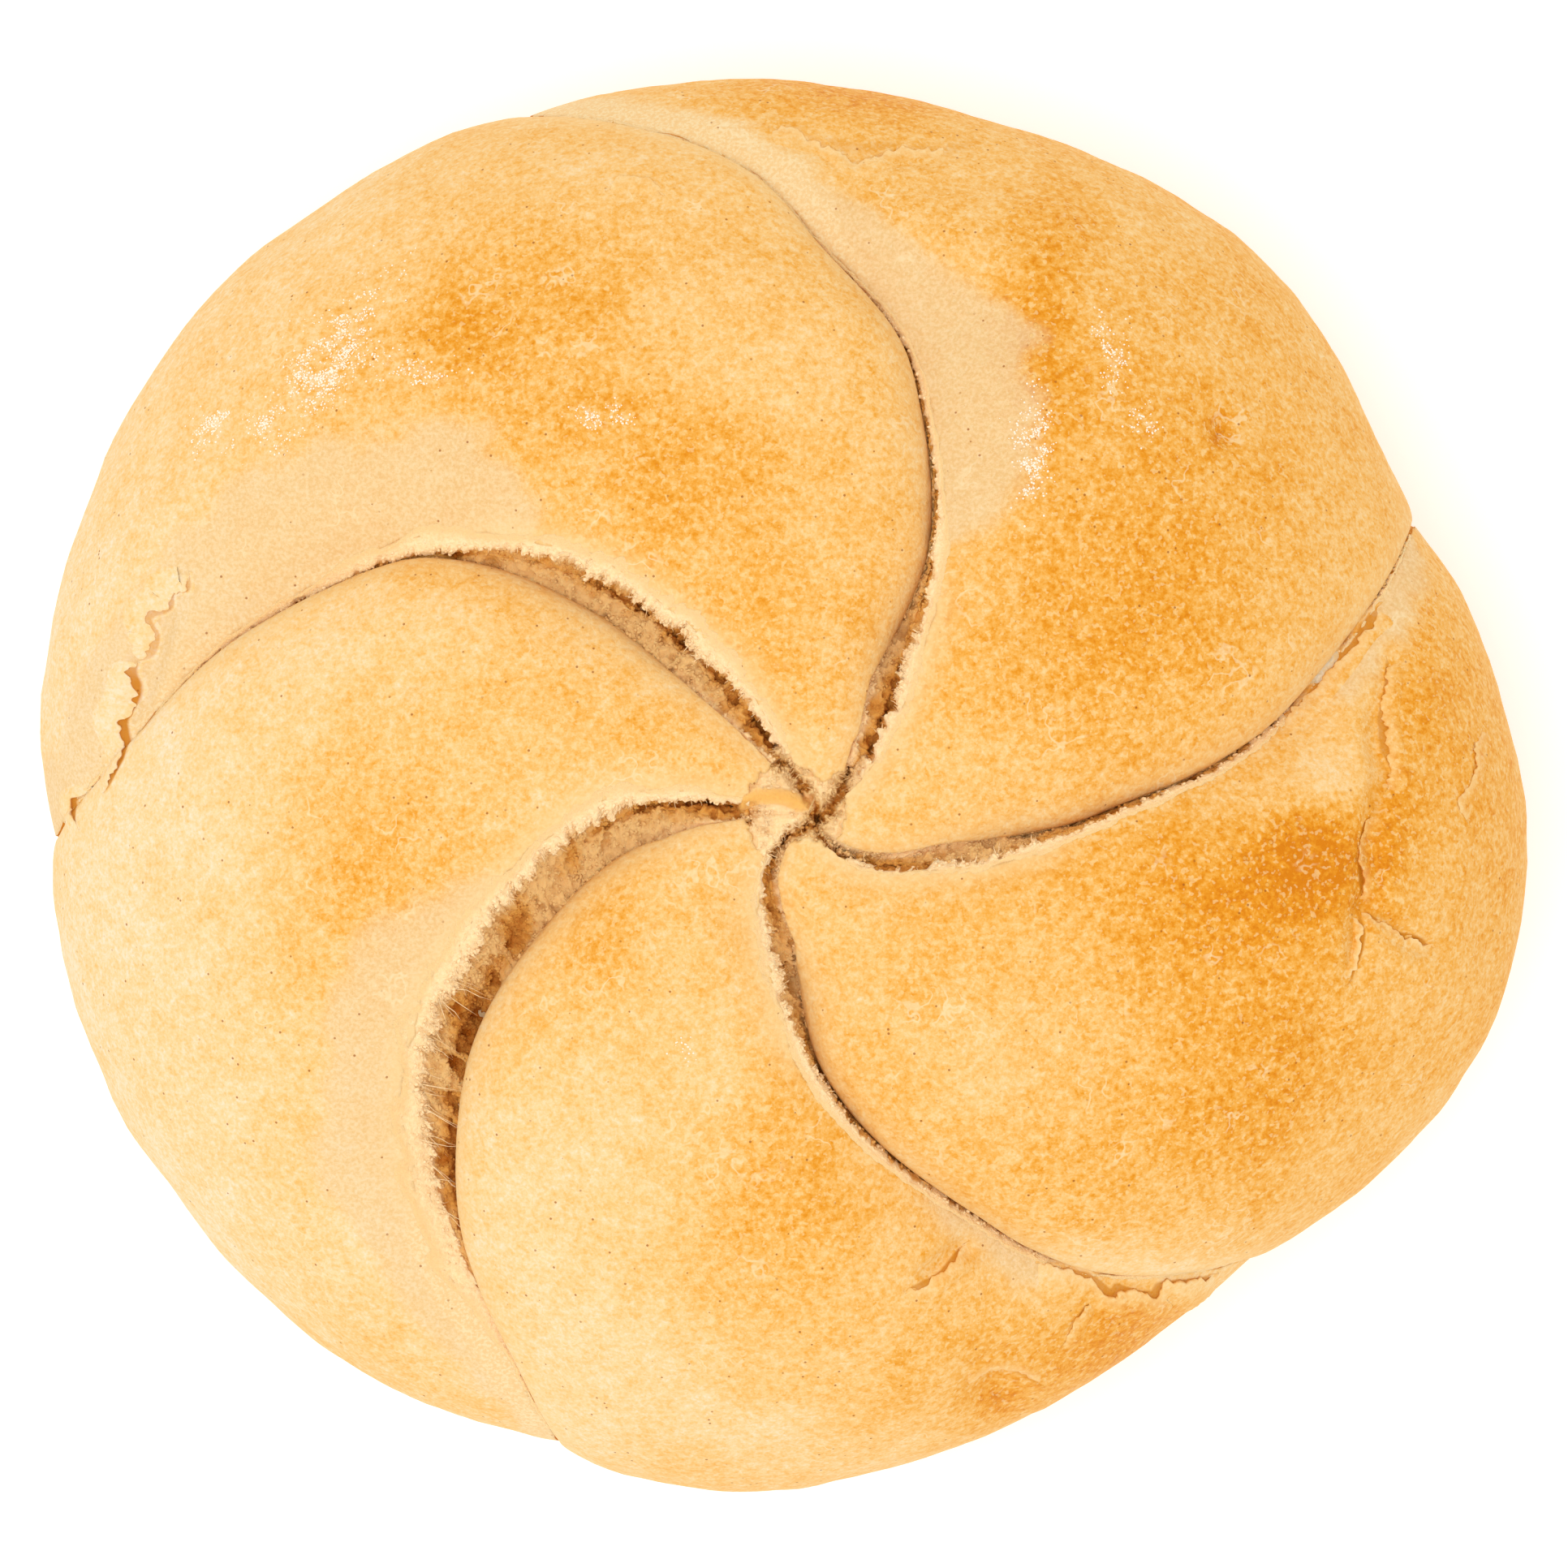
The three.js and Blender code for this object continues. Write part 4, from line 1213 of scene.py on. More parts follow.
def near_path(plan, path):
    """How far places lie from a path of straight runs."""
    nearest = np.full(len(plan), np.inf)
    for a, b in zip(np.array(path, float)[:-1], np.array(path, float)[1:]):
        t = np.clip(((plan - a) @ (b - a)) / ((b - a) @ (b - a)), 0, 1)
        nearest = np.minimum(nearest, np.linalg.norm(plan - a - t[:, None] * (b - a), axis=1))
    return nearest


def rounded_path(path, steps=200):
    """Points on a smooth curve through a path's points."""
    path = np.array(path, float)
    run = run_along(path)
    return curve_through(run, path, np.linspace(0, run[-1], steps))


def centre_surface(quick):
    """Points, faces and colour facts of the crumb where the five petals' tips meet."""
    step = CENTRE_STEP * (2 if quick else 1)
    line = np.arange(-CENTRE_REACH, CENTRE_REACH, step)
    x, y = np.meshgrid(line, line[::-1])
    away = np.c_[x.ravel(), y.ravel()]
    flat = np.c_[away, np.zeros(len(away))]
    wander = np.c_[layered(flat, CENTRE_WANDER_X), layered(flat, CENTRE_WANDER_Y)]
    gap = np.zeros(len(away))
    bank = np.zeros(len(away))
    height = np.full(len(away), CENTRE_LEVEL)
    for path, width, depth in CENTRE_GAPS:
        far = near_path(away + wander, rounded_path(path, 40))
        height -= depth * bell(far, width)
        gap = np.maximum(gap, bell(far, width))
        bank = np.maximum(bank, bell(far, BANK_WIDTH * width))
    flap = bell(near_path(away + wander, np.array(CENTRE_FLAP)), 0.9) * (1 - gap)
    path, width, rise = CENTRE_FOLD
    far = near_path(away + 0.3 * wander, rounded_path(path, 40)) / width
    fold = 1 - smoothstep(far, 0.75, 1.1)
    height += 0.35 * flap + rise * np.sqrt(np.clip(1 - far**2, 0, 1))

    bearing = np.degrees(np.arctan2(away[:, 1], away[:, 0]))
    out = np.hypot(away[:, 0], away[:, 1])
    profile = profile_of(out / outline_radius(bearing))
    within = np.full(len(away), -9.0)
    for number in range(len(SEAMS)):
        petal = Petal(number, profile)
        here, turned = petal.holds(bearing)
        height = height + np.where(here, petal.crust(turned), 0)
        within = np.where(here, petal.within_crust(turned), within)
    relief = layered(flat, CENTRE_RELIEF)
    relief += ridged(flat, RIDGE_SIZE, 79)
    pits = bubbles(flat, 0.9, 78, 0.3)
    under = smoothstep(within, 0, 0.4)
    height += (relief - 0.35 * pits) * (1 - 0.75 * fold) * (1 - 0.5 * flap) * (1 - 0.8 * under)
    height -= 0.15 * smoothstep(-within, 0.1, 1.0)
    height -= (0.2 * under + 1.3 * smoothstep(within, 0.8, 1.3)) * (1 - fold)
    height -= CENTRE_DROP * smoothstep(out, CENTRE_REACH - CENTRE_RIM, CENTRE_REACH)
    points = place_on(bearing, profile, height)
    nothing = np.zeros(len(away))
    seen = (out < CENTRE_SEEN) * (within < 0.1) * (1 - fold)
    (strands_x, strands_y), strands_width = CENTRE_STRANDS
    facts = {
        # Painted shade: darker down in the gaps.
        "deep": np.clip(1.1 * gap, 0, 1),
        "near_crust": 0.5 * (1 - bank),
        "near_smooth": nothing,
        "slope": np.clip(0.1 + 1.1 * bank - 0.9 * flap, 0, 1) * (1 - fold),
        "pit": pits * (1 - fold),
        "golden": fold * (0.35 + 0.65 * np.sqrt(np.clip(1 - far**2, 0, 1))),
        "fringe": bell(bank - 0.5, 0.25) * seen,
        "grains": (0.15 + 0.5 * bank * (1 - gap)) * seen * (1 - 0.7 * flap),
        "strands": bell(np.hypot(away[:, 0] - strands_x, away[:, 1] - strands_y), strands_width),
    }
    # The fibres reach towards the gaps.
    down, right = np.gradient(bank.reshape(x.shape))
    reach = np.stack([right.ravel(), -down.ravel()], axis=1)
    reach /= np.maximum(np.linalg.norm(reach, axis=1), 1e-6)[:, None]
    facts["reach"] = np.c_[reach, 0.5 + nothing]
    return close_lining(points.reshape(*x.shape, 3), facts)


def flap_surface(flap, quick):
    """Points, faces and colour facts of a ragged edge of crust along a tear."""
    path = rounded_path(flap.path)
    run = run_along(path)
    along = np.linspace(0, run[-1], int(run[-1] / (FLAP_STEP * (2 if quick else 1))))
    plan = np.stack([np.interp(along, run, path[:, i]) for i in range(2)], axis=1)
    ahead = np.gradient(plan, axis=0)
    ahead /= np.linalg.norm(ahead, axis=1)[:, None]
    left = np.c_[-ahead[:, 1], ahead[:, 0]]
    u = np.linspace(0, len(FLAP_SECTION) - 1, FLAP_COLUMNS)
    section = curve_through(np.arange(len(FLAP_SECTION)), FLAP_SECTION, u)
    seed = 500 + sum(ord(letter) for letter in flap.name)
    ends = np.sqrt(np.clip(np.minimum(along, run[-1] - along) / FLAP_TAPER, 0, 1))[:, None]
    spots = on_line(along)
    width = flap.width * (1 + 0.3 * lumps(spots, 3.0, seed))[:, None]
    lift = flap.lift * (1 + 0.6 * lumps(spots, 1.4, seed + 1))[:, None] * ends
    tear = flap.tear * np.clip(1 + 1.3 * lumps(spots, 1.7, seed + 6), 0.2, 2)[:, None] * ends
    in_from_tear = section[:, 0][None] * width + section[:, 1][None] * tear + section[:, 2][None]
    rough = ragged(along, seed + 2, 0.22, 0.16)[:, None]
    rough = rough * (smoothstep(u, 1.8, 3.8) * (1 - smoothstep(u, 7.5, 9.5)))[None]
    place = plan[:, None] + (in_from_tear + rough)[..., None] * left[:, None]
    base, normals = crust_at(place.reshape(-1, 2))
    up = section[:, 3][None] * lift + section[:, 4][None] * np.ones_like(lift)
    up = up - FLAP_ENDS_SINK * (1 - ends) * smoothstep(u, 1, 4)[None]
    points = (base + normals * up.reshape(-1, 1)).reshape(len(along), FLAP_COLUMNS, 3)
    # Painted shade in the tear under the flap's free edge, which the crust paints with the crease
    # shade colour.
    tear_shade = smoothstep(u, 1.3, 2.1) * (1 - smoothstep(u, 4.2, 5.2)) * min(1, flap.tear / FULL_SHADE_TEAR)
    facts = {name: np.zeros(len(base)) for name in ("skin", "inside", "raw", "flour")}
    facts["browning"] = browning(base[:, :2], base)
    facts["pale"] = flap.pale * np.tile(bell(u - FLAP_EDGE, 1.3), len(along))
    facts["crease"] = (tear_shade[None] * np.sqrt(ends) * np.ones(FLAP_COLUMNS)).ravel()
    normals = normals.reshape(points.shape)[:, [0, -1]]
    return close_lining(points, facts, 0.3 * normals)


# Materials

GLOW_REACH = 0.25  # how far light passes through the crumb
# Colours laid over the crust.
FLECK = srgb(235, 205, 147)
PULLED_SKIN = srgb(229, 199, 153), srgb(219, 185, 132)
PALE_EDGE = srgb(235, 203, 147)
RAW_DOUGH = srgb(233, 208, 160), srgb(229, 191, 134)
FLOUR_FILM = srgb(235, 218, 189)
WRINKLE = srgb(235, 212, 166)
BLISTER = srgb(235, 189, 110)
# Painted shade along the creases and in the tears under the flaps.
CREASE_SHADE_COLOUR = srgb(196, 122, 22)
# Painted shade on the crust's walls inside the seams.
SEAM_WALL_SHADE = srgb(216, 144, 48)
SPECK = srgb(150, 80, 26)
# Colours of the torn crumb.
LIP_SHADE = srgb(246, 211, 158)
BESIDE_SMOOTH = srgb(240, 192, 122)
BESIDE_CRUST = srgb(234, 196, 137)
CRUST_FOLD = srgb(234, 178, 96)
FLOUR_GRAINS = srgb(243, 226, 196), srgb(248, 238, 222)
FLOOR_COLOUR = srgb(250, 250, 250)
FLOOR_GLOW = 0.22
# The ramp of crust colours spans this range of browning, from this much below none.
BROWN_RANGE, BROWN_BELOW = 1.4, 0.15


class Shader:
    """A short way to build one material's nodes."""

    def __init__(self, name):
        self.material = bpy.data.materials.new(name)
        self.material.use_nodes = True
        self.nodes = self.material.node_tree.nodes
        self.links = self.material.node_tree.links
        self.surface = self.nodes["Principled BSDF"]
        self.place = self.nodes.new("ShaderNodeTexCoord").outputs["Object"]

    def feed(self, socket, value):
        if isinstance(value, bpy.types.NodeSocket):
            self.links.new(value, socket)
        else:
            socket.default_value = value

    def attribute(self, name):
        node = self.nodes.new("ShaderNodeAttribute")
        node.attribute_name = name
        return node.outputs["Fac"]

    def math(self, operation, *values):
        node = self.nodes.new("ShaderNodeMath")
        node.operation = operation
        for socket, value in zip(node.inputs, values):
            self.feed(socket, value)
        return node.outputs[0]

    def clamped(self, value, low, high, to_low=0.0, to_high=1.0):
        node = self.nodes.new("ShaderNodeMapRange")
        node.interpolation_type = "SMOOTHSTEP"
        for label, number in (
            ("Value", value), ("From Min", low), ("From Max", high),
            ("To Min", to_low), ("To Max", to_high),
        ):
            self.feed(node.inputs[label], number)
        return node.outputs["Result"]

    def noise(self, size_mm, detail=2.0, rough=0.55):
        node = self.nodes.new("ShaderNodeTexNoise")
        self.feed(node.inputs["Vector"], self.place)
        node.inputs["Scale"].default_value = 1 / (size_mm * MM)
        node.inputs["Detail"].default_value = detail
        node.inputs["Roughness"].default_value = rough
        return node.outputs["Fac"]

    def spots(self, apart_mm):
        """The distance to the nearest of many scattered points, in spacings."""
        node = self.nodes.new("ShaderNodeTexVoronoi")
        self.feed(node.inputs["Vector"], self.place)
        node.inputs["Scale"].default_value = 1 / (apart_mm * MM)
        return node.outputs["Distance"]

    def mix(self, share, a, b):
        node = self.nodes.new("ShaderNodeMix")
        node.data_type = "RGBA"
        self.feed(node.inputs[0], share)
        self.feed(node.inputs[6], a)
        self.feed(node.inputs[7], b)
        return node.outputs[2]

    def over(self, base, colour, share, strength):
        """A colour laid over another where a share says so, by no more than a strength."""
        return self.mix(self.math("MULTIPLY", share, strength), base, colour)

    def varied(self, value, noise, by):
        """A value moved up and down by a noise."""
        return self.math("MULTIPLY_ADD", self.math("SUBTRACT", noise, 0.5), by, value)

    def dots(self, apart_mm, inner, outer, where):
        """Round dots with soft rims, in the places that a share gives."""
        dot = self.clamped(self.spots(apart_mm), inner, outer, 1.0, 0.0)
        return self.math("MULTIPLY", dot, where)

    def paint(self, colour, roughness, sheen=0.12):
        """Sets the surface's colour, how rough it is and how much it shines."""
        self.feed(self.surface.inputs["Base Color"], colour)
        self.feed(self.surface.inputs["Roughness"], roughness)
        self.feed(self.surface.inputs["Specular IOR Level"], sheen)

    def ramp(self, value, stops):
        node = self.nodes.new("ShaderNodeValToRGB")
        elements = node.color_ramp.elements
        elements[0].position, elements[0].color = stops[0]
        elements[1].position, elements[1].color = stops[-1]
        for position, colour in stops[1:-1]:
            elements.new(position).color = colour
        self.feed(node.inputs[0], value)
        return node.outputs[0]

    def bump(self, height, depth_mm, below=None):
        node = self.nodes.new("ShaderNodeBump")
        node.inputs["Strength"].default_value = 1.0
        node.inputs["Distance"].default_value = depth_mm * MM
        self.feed(node.inputs["Height"], height)
        if below is not None:
            self.feed(node.inputs["Normal"], below)
        return node.outputs["Normal"]


def crust_material(look):
    """Baked crust: golden to brown by its browning, mottled, with pale skin, dark specks, and
    painted shade along creases, in tears under flaps and on the seams' walls.
    """
    s = Shader("baked crust")
    brown = s.attribute("browning")
    skin = s.attribute("skin")
    mottle = s.noise(0.62, 2.0, 0.6)
    grain = s.noise(0.26, 2.0, 0.6)
    blotch = s.noise(2.6, 3.0, 0.6)
    fleck = s.noise(0.42, 1.5, 0.5)
    mottled = s.math("MULTIPLY", s.clamped(brown, 0.1, 0.85, 0.65, 1.2), look.mottling)
    varied = s.varied(brown, mottle, mottled)
    varied = s.varied(varied, blotch, 0.5)
    varied = s.varied(varied, grain, 0.8)
    base = s.ramp(s.math("MULTIPLY_ADD", varied, 1 / BROWN_RANGE, BROWN_BELOW / BROWN_RANGE), [
        (0.0, tuple(look.palest)),
        (0.18, tuple(look.pale)),
        (0.39, tuple(look.straw)),
        (0.61, tuple(look.gold)),
        (0.79, tuple(look.brown)),
        (1.0, tuple(look.deep)),
    ])
    in_browned = s.clamped(varied, 0.1, 0.7, 0.25, 0.45)
    base = s.mix(s.math("MULTIPLY", s.clamped(fleck, 0.57, 0.66), in_browned), base, FLECK)
    base = s.over(base, s.mix(s.clamped(grain, 0.35, 0.65), *PULLED_SKIN), skin, 0.7)
    base = s.over(base, PALE_EDGE, s.attribute("pale"), 0.6)
    base = s.over(base, s.mix(s.clamped(grain, 0.35, 0.6), *RAW_DOUGH), s.attribute("raw"), 0.85)
    clumped = s.clamped(s.noise(CLUMP, 2.0, 0.5), 0.5, 0.62)
    flour = s.math("MULTIPLY", s.attribute("flour"), clumped)
    base = s.over(base, FLOUR_FILM, flour, 0.3)
    # Wrinkles are short pale lines where a noise passes its middle value, in a few places.
    level = s.math("ABSOLUTE", s.math("SUBTRACT", s.noise(2.4, 2.0, 0.6), 0.5))
    wrinkle = s.math("MULTIPLY", s.clamped(level, 0.008, 0.028, 1.0, 0.0),
                     s.clamped(s.noise(5.0, 1.0), 0.62, 0.7))
    base = s.over(base, WRINKLE, wrinkle, 0.5)
    blister = s.dots(0.8, 0.14, 0.24, s.clamped(brown, 0.72, 0.95))
    base = s.over(base, BLISTER, blister, 0.4)
    # Painted shade along the creases and in the tears under the flaps.
    base = s.over(base, CREASE_SHADE_COLOUR, s.attribute("crease"), 0.95)
    # Painted shade on the crust's walls inside the seams.
    base = s.mix(s.attribute("inside"), base, SEAM_WALL_SHADE)
    base = s.over(base, SPECK, s.dots(1.2, 0.06, 0.1, s.clamped(s.noise(3.0), 0.45, 0.55)), 0.75)
    s.paint(base, s.clamped(varied, 0.3, 1.0, 0.8, 0.6))
    relief = s.bump(grain, 0.05)
    relief = s.bump(mottle, 0.09, relief)
    relief = s.bump(blister, 0.04, relief)
    s.feed(s.surface.inputs["Normal"], relief)
    return s.material


def crumb_material(look, name, glow):
    """Torn crumb: cream at its lips, and ochre to brown down in the gap, in narrow slits and in
    bubble pits, which is painted shade.
    """
    s = Shader(name)
    cotton = s.noise(0.3, 3.0, 0.65)
    varied = s.varied(s.attribute("deep"), cotton, 0.45)
    varied = s.math("MULTIPLY_ADD", s.attribute("pit"), 0.35, varied)
    # The ramp from middle crumb down to the holes is painted shade.
    slope = s.ramp(s.math("MULTIPLY", varied, 0.7), [
        (0.0, tuple(look.crumb_mid)),
        (0.3, tuple(look.crumb_mid)),
        (0.58, tuple(look.crumb_deep)),
        (0.82, tuple(look.crumb_hole)),
    ])
    lip = s.mix(s.clamped(cotton, 0.35, 0.65), tuple(look.crumb_light), LIP_SHADE)
    base = s.mix(s.attribute("slope"), lip, slope)
    base = s.over(base, BESIDE_SMOOTH, s.attribute("near_smooth"), 0.6)
    base = s.over(base, BESIDE_CRUST, s.attribute("near_crust"), 0.9)
    base = s.mix(s.attribute("golden"), base, CRUST_FOLD)
    s.paint(base, 0.9)
    s.surface.inputs["Subsurface Weight"].default_value = glow
    s.surface.inputs["Subsurface Radius"].default_value = (1.0, 0.9, 0.8)
    s.surface.inputs["Subsurface Scale"].default_value = GLOW_REACH * MM
    s.feed(s.surface.inputs["Normal"], s.bump(cotton, 0.15))
    return s.material


def flour_material():
    s = Shader("dry flour")
    s.paint(s.mix(s.noise(0.3), *FLOUR_GRAINS), 0.95, 0.1)
    return s.material


def floor_material():
    s = Shader("plain pale floor")
    s.paint(FLOOR_COLOUR, 0.9, 0.1)
    s.surface.inputs["Emission Color"].default_value = srgb(255, 255, 255)
    s.surface.inputs["Emission Strength"].default_value = FLOOR_GLOW
    return s.material


# Geometry Nodes

WAVE_SIZE = 0.7  # how long the waves in a fibre are
HEAPED = (0.53, 0.62)  # the noise values between which flour starts and is at its densest


class Nodes:
    """A short way to build one Geometry Nodes tree."""

    def __init__(self, name, **inputs):
        self.tree = bpy.data.node_groups.new(name, "GeometryNodeTree")
        self.tree.is_modifier = True
        face = self.tree.interface
        face.new_socket("Geometry", in_out="INPUT", socket_type="NodeSocketGeometry")
        for label, value in inputs.items():
            kind = "NodeSocketInt" if isinstance(value, int) else "NodeSocketFloat"
            face.new_socket(label, in_out="INPUT", socket_type=kind).default_value = value
        face.new_socket("Geometry", in_out="OUTPUT", socket_type="NodeSocketGeometry")
        self.input = self.tree.nodes.new("NodeGroupInput").outputs
        self.output = self.tree.nodes.new("NodeGroupOutput")

    def add(self, kind, settings=None, **values):
        node = self.tree.nodes.new(kind)
        for label, value in (settings or {}).items():
            setattr(node, label, value)
        for label, value in values.items():
            socket = next(
                s for s in node.inputs if s.enabled and s.name.replace(" ", "_") == label)
            if isinstance(value, bpy.types.NodeSocket):
                self.tree.links.new(value, socket)
            else:
                socket.default_value = value
        return node

    def attribute(self, name, kind="FLOAT"):
        node = self.add("GeometryNodeInputNamedAttribute", {"data_type": kind}, Name=name)
        return node.outputs[0]

    def times(self, a, b):
        node = self.add("ShaderNodeMath", {"operation": "MULTIPLY"})
        self.tree.links.new(a, node.inputs[0])
        self.tree.links.new(b, node.inputs[1])
        return node.outputs[0]

    def random(self, low, high, seed):
        node = self.add("FunctionNodeRandomValue", {"data_type": "FLOAT"},
                        Min=low, Max=high, Seed=seed)
        return next(o for o in node.outputs if o.enabled)

    def finish(self, geometry, material, wave=0.0):
        """Realizes the instances, waves them by so many millimetres and paints them."""
        realized = self.add("GeometryNodeRealizeInstances", Geometry=geometry).outputs[0]
        if wave:
            noise = self.add("ShaderNodeTexNoise", Scale=1 / (WAVE_SIZE * MM), Detail=1.0)
            middle = self.add("ShaderNodeVectorMath", {"operation": "SUBTRACT"})
            self.tree.links.new(noise.outputs["Color"], middle.inputs[0])
            middle.inputs[1].default_value = (0.5, 0.5, 0.5)
            sway = self.add("ShaderNodeVectorMath", {"operation": "SCALE"})
            self.tree.links.new(middle.outputs[0], sway.inputs[0])
            sway.inputs["Scale"].default_value = wave * MM
            realized = self.add("GeometryNodeSetPosition", Geometry=realized,
                                Offset=sway.outputs[0]).outputs[0]
        painted = self.add("GeometryNodeSetMaterial", Geometry=realized, Material=material)
        self.tree.links.new(painted.outputs[0], self.output.inputs[0])
        return self.tree


def grown(source, tree, name, **values):
    """The plain mesh that a tree makes from a copy of a source mesh."""
    carrier = bpy.data.objects.new(name + "_carrier", source.data.copy())
    bpy.context.scene.collection.objects.link(carrier)
    modifier = carrier.modifiers.new(tree.name, "NODES")
    modifier.node_group = tree
    for item in tree.interface.items_tree:
        if item.in_out == "INPUT" and item.name in values:
            modifier[item.identifier] = values[item.name]
    graph = bpy.context.evaluated_depsgraph_get()
    mesh = bpy.data.meshes.new_from_object(carrier.evaluated_get(graph))
    mesh.name = name
    bpy.data.objects.remove(carrier)
    piece = bpy.data.objects.new(name, mesh)
    bpy.context.scene.collection.objects.link(piece)
    mesh.shade_smooth()
    return piece


def scatter_tree(name, seed, where, density, shape, material, stretch, tilts, reach=None,
                 wave=0.0, clumps=0.0):
    """Instances of a shape scattered on faces by the density that an attribute gives."""
    n = Nodes(name, Density=density, Smallest=0.5, Largest=1.5)
    wanted = n.times(n.attribute(where), n.input["Density"])
    if clumps:
        noise = n.add("ShaderNodeTexNoise", Scale=1 / (clumps * MM), Detail=2.0)
        heap = n.add("ShaderNodeMapRange", Value=noise.outputs[0])
        heap.inputs["From Min"].default_value = HEAPED[0]
        heap.inputs["From Max"].default_value = HEAPED[1]
        wanted = n.times(wanted, heap.outputs[0])
    spread = n.add("GeometryNodeDistributePointsOnFaces", {"distribute_method": "RANDOM"},
                   Mesh=n.input["Geometry"], Density=wanted, Seed=seed)
    size = n.random(n.input["Smallest"], n.input["Largest"], seed + 1)
    long = n.random(*stretch, seed + 2)
    scale = n.add("ShaderNodeCombineXYZ", X=size, Y=size)
    n.tree.links.new(n.times(size, long), scale.inputs["Z"])
    tilt = n.add("FunctionNodeRandomValue", {"data_type": "FLOAT_VECTOR"}, Seed=seed + 3)
    tilt.inputs[0].default_value = (-tilts, -tilts, 0)
    tilt.inputs[1].default_value = (tilts, tilts, 2 * math.pi)
    turned = n.add("FunctionNodeRotateRotation", {"rotation_space": "LOCAL"})
    stands = spread.outputs["Rotation"]
    if reach:
        aim = n.add("FunctionNodeAlignRotationToVector", {"axis": "Z"})
        n.tree.links.new(n.attribute(reach, "FLOAT_VECTOR"), aim.inputs["Vector"])
        stands = aim.outputs[0]
    n.tree.links.new(stands, turned.inputs[0])
    n.tree.links.new(tilt.outputs[0], turned.inputs[1])
    copies = n.add("GeometryNodeInstanceOnPoints", Points=spread.outputs["Points"],
                   Instance=shape(n), Rotation=turned.outputs[0], Scale=scale.outputs[0])
    return n.finish(copies.outputs[0], material, wave)


def fibre_shape(n):
    """A thin tapered fibre a millimetre long, standing on its thick end."""
    cone = n.add("GeometryNodeMeshCone", Vertices=4, Side_Segments=3, Fill_Segments=1,
                 Radius_Top=0.012 * MM, Radius_Bottom=0.05 * MM, Depth=1.0 * MM)
    return cone.outputs["Mesh"]


def grain_shape(n):
    """A rough clump of flour a tenth of a millimetre across."""
    ball = n.add("GeometryNodeMeshIcoSphere", Radius=0.06 * MM, Subdivisions=1)
    return ball.outputs["Mesh"]


def crumb_shape(n):
    """A rough grain of crumb two tenths of a millimetre across."""
    ball = n.add("GeometryNodeMeshIcoSphere", Radius=0.1 * MM, Subdivisions=1)
    return ball.outputs["Mesh"]


# Settings

def colour_setting(name, description, *levels):
    return bpy.props.FloatVectorProperty(
        name=name, description=description, size=4, subtype="COLOR", default=srgb(*levels))


class RollCrustSettings(bpy.types.PropertyGroup):
    """Colours of the baked crust."""

    mottling: bpy.props.FloatProperty(
        name="Mottling", description="How much the browning varies from place to place",
        default=1.1, min=0, max=2, subtype="FACTOR")
    palest: colour_setting("Palest", "The least baked crust", 234, 214, 182)
    pale: colour_setting("Pale", "Hardly baked crust", 233, 201, 149)
    straw: colour_setting("Straw", "Lightly baked crust", 232, 184, 112)
    gold: colour_setting("Gold", "Well baked crust", 227, 163, 69)
    brown: colour_setting("Brown", "The browned patches", 220, 142, 27)
    deep: colour_setting("Deep brown", "The most baked spots", 207, 120, 3)


class RollCrumbSettings(bpy.types.PropertyGroup):
    """Colours and fibres of the torn crumb."""

    crumb_light: colour_setting("Light crumb", "Crumb at the lips of a tear", 255, 225, 178)
    crumb_mid: colour_setting("Middle crumb", "Crumb halfway down a tear", 226, 181, 118)
    # The deep and hole colours darken the crumb down a tear and in its pits: painted shade.
    crumb_deep: colour_setting("Deep crumb", "Crumb at the bottom of a tear", 222, 160, 76)
    crumb_hole: colour_setting("Holes", "The darkest holes in the crumb", 178, 100, 24)
    glow: bpy.props.FloatProperty(
        name="Glow", description="How much light passes through the crumb", default=0.4,
        min=0, max=1, subtype="FACTOR")
    fibres: bpy.props.FloatProperty(
        name="Fibres", description="Fibres on each square metre of lip", default=1.0e7, min=0)
    grains: bpy.props.FloatProperty(
        name="Grains", description="Loose grains on each square metre of lip",
        default=1.6e7, min=0)


class RollFlourSettings(bpy.types.PropertyGroup):
    """Flour on the crust."""

    density: bpy.props.FloatProperty(
        name="Flour", description="Grains on each square metre in the middle of a clump",
        default=1.5e8, min=0)


class RollStageSettings(bpy.types.PropertyGroup):
    """Floor, light and camera."""

    view_width: bpy.props.FloatProperty(
        name="View width", description="What the camera takes in across, at the rim's height",
        default=0.1159, unit="LENGTH")
    lens: bpy.props.FloatProperty(
        name="Lens", description="Focal length: long, as the roll is seen with no perspective",
        default=800.0, unit="CAMERA")
    sky: bpy.props.FloatProperty(
        name="Sky", description="Strength of the even white light from all round", default=1.0)
    key: bpy.props.FloatProperty(
        name="Key light", description="Power of the large soft lamp", default=2.65, unit="POWER")


# Operators

FLOOR_REACH = 8.0
KEY_SIZE = 0.5
KEY_PLACE = (-0.15, -0.12, 0.9)


class MakesPiece:
    """What the roll's operators share."""

    bl_options = {"REGISTER", "UNDO"}


class ROLL_OT_crust(MakesPiece, bpy.types.Operator):
    """Bake the crust round the whole roll, in place of its solid"""

    bl_idname = "roll.crust"
    bl_label = "Baked crust"

    def execute(self, context):
        points, faces, facts = crust_surface(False)
        material = crust_material(context.scene.roll_crust)
        piece = new_piece("baked_crust", points, faces, material, facts)
        keep_piece(piece, stands_for_roll=True)
        return {"FINISHED"}


class ROLL_OT_flaps(MakesPiece, bpy.types.Operator):
    """Lift the ragged edges of crust along the small tears near the rim"""

    bl_idname = "roll.flaps"
    bl_label = "Crust flaps"

    def execute(self, context):
        material = bpy.data.materials["baked crust"]
        for flap in FLAPS:
            points, faces, facts = flap_surface(flap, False)
            keep_piece(new_piece(f"crust_{flap.name}", points, faces, material, facts))
        return {"FINISHED"}


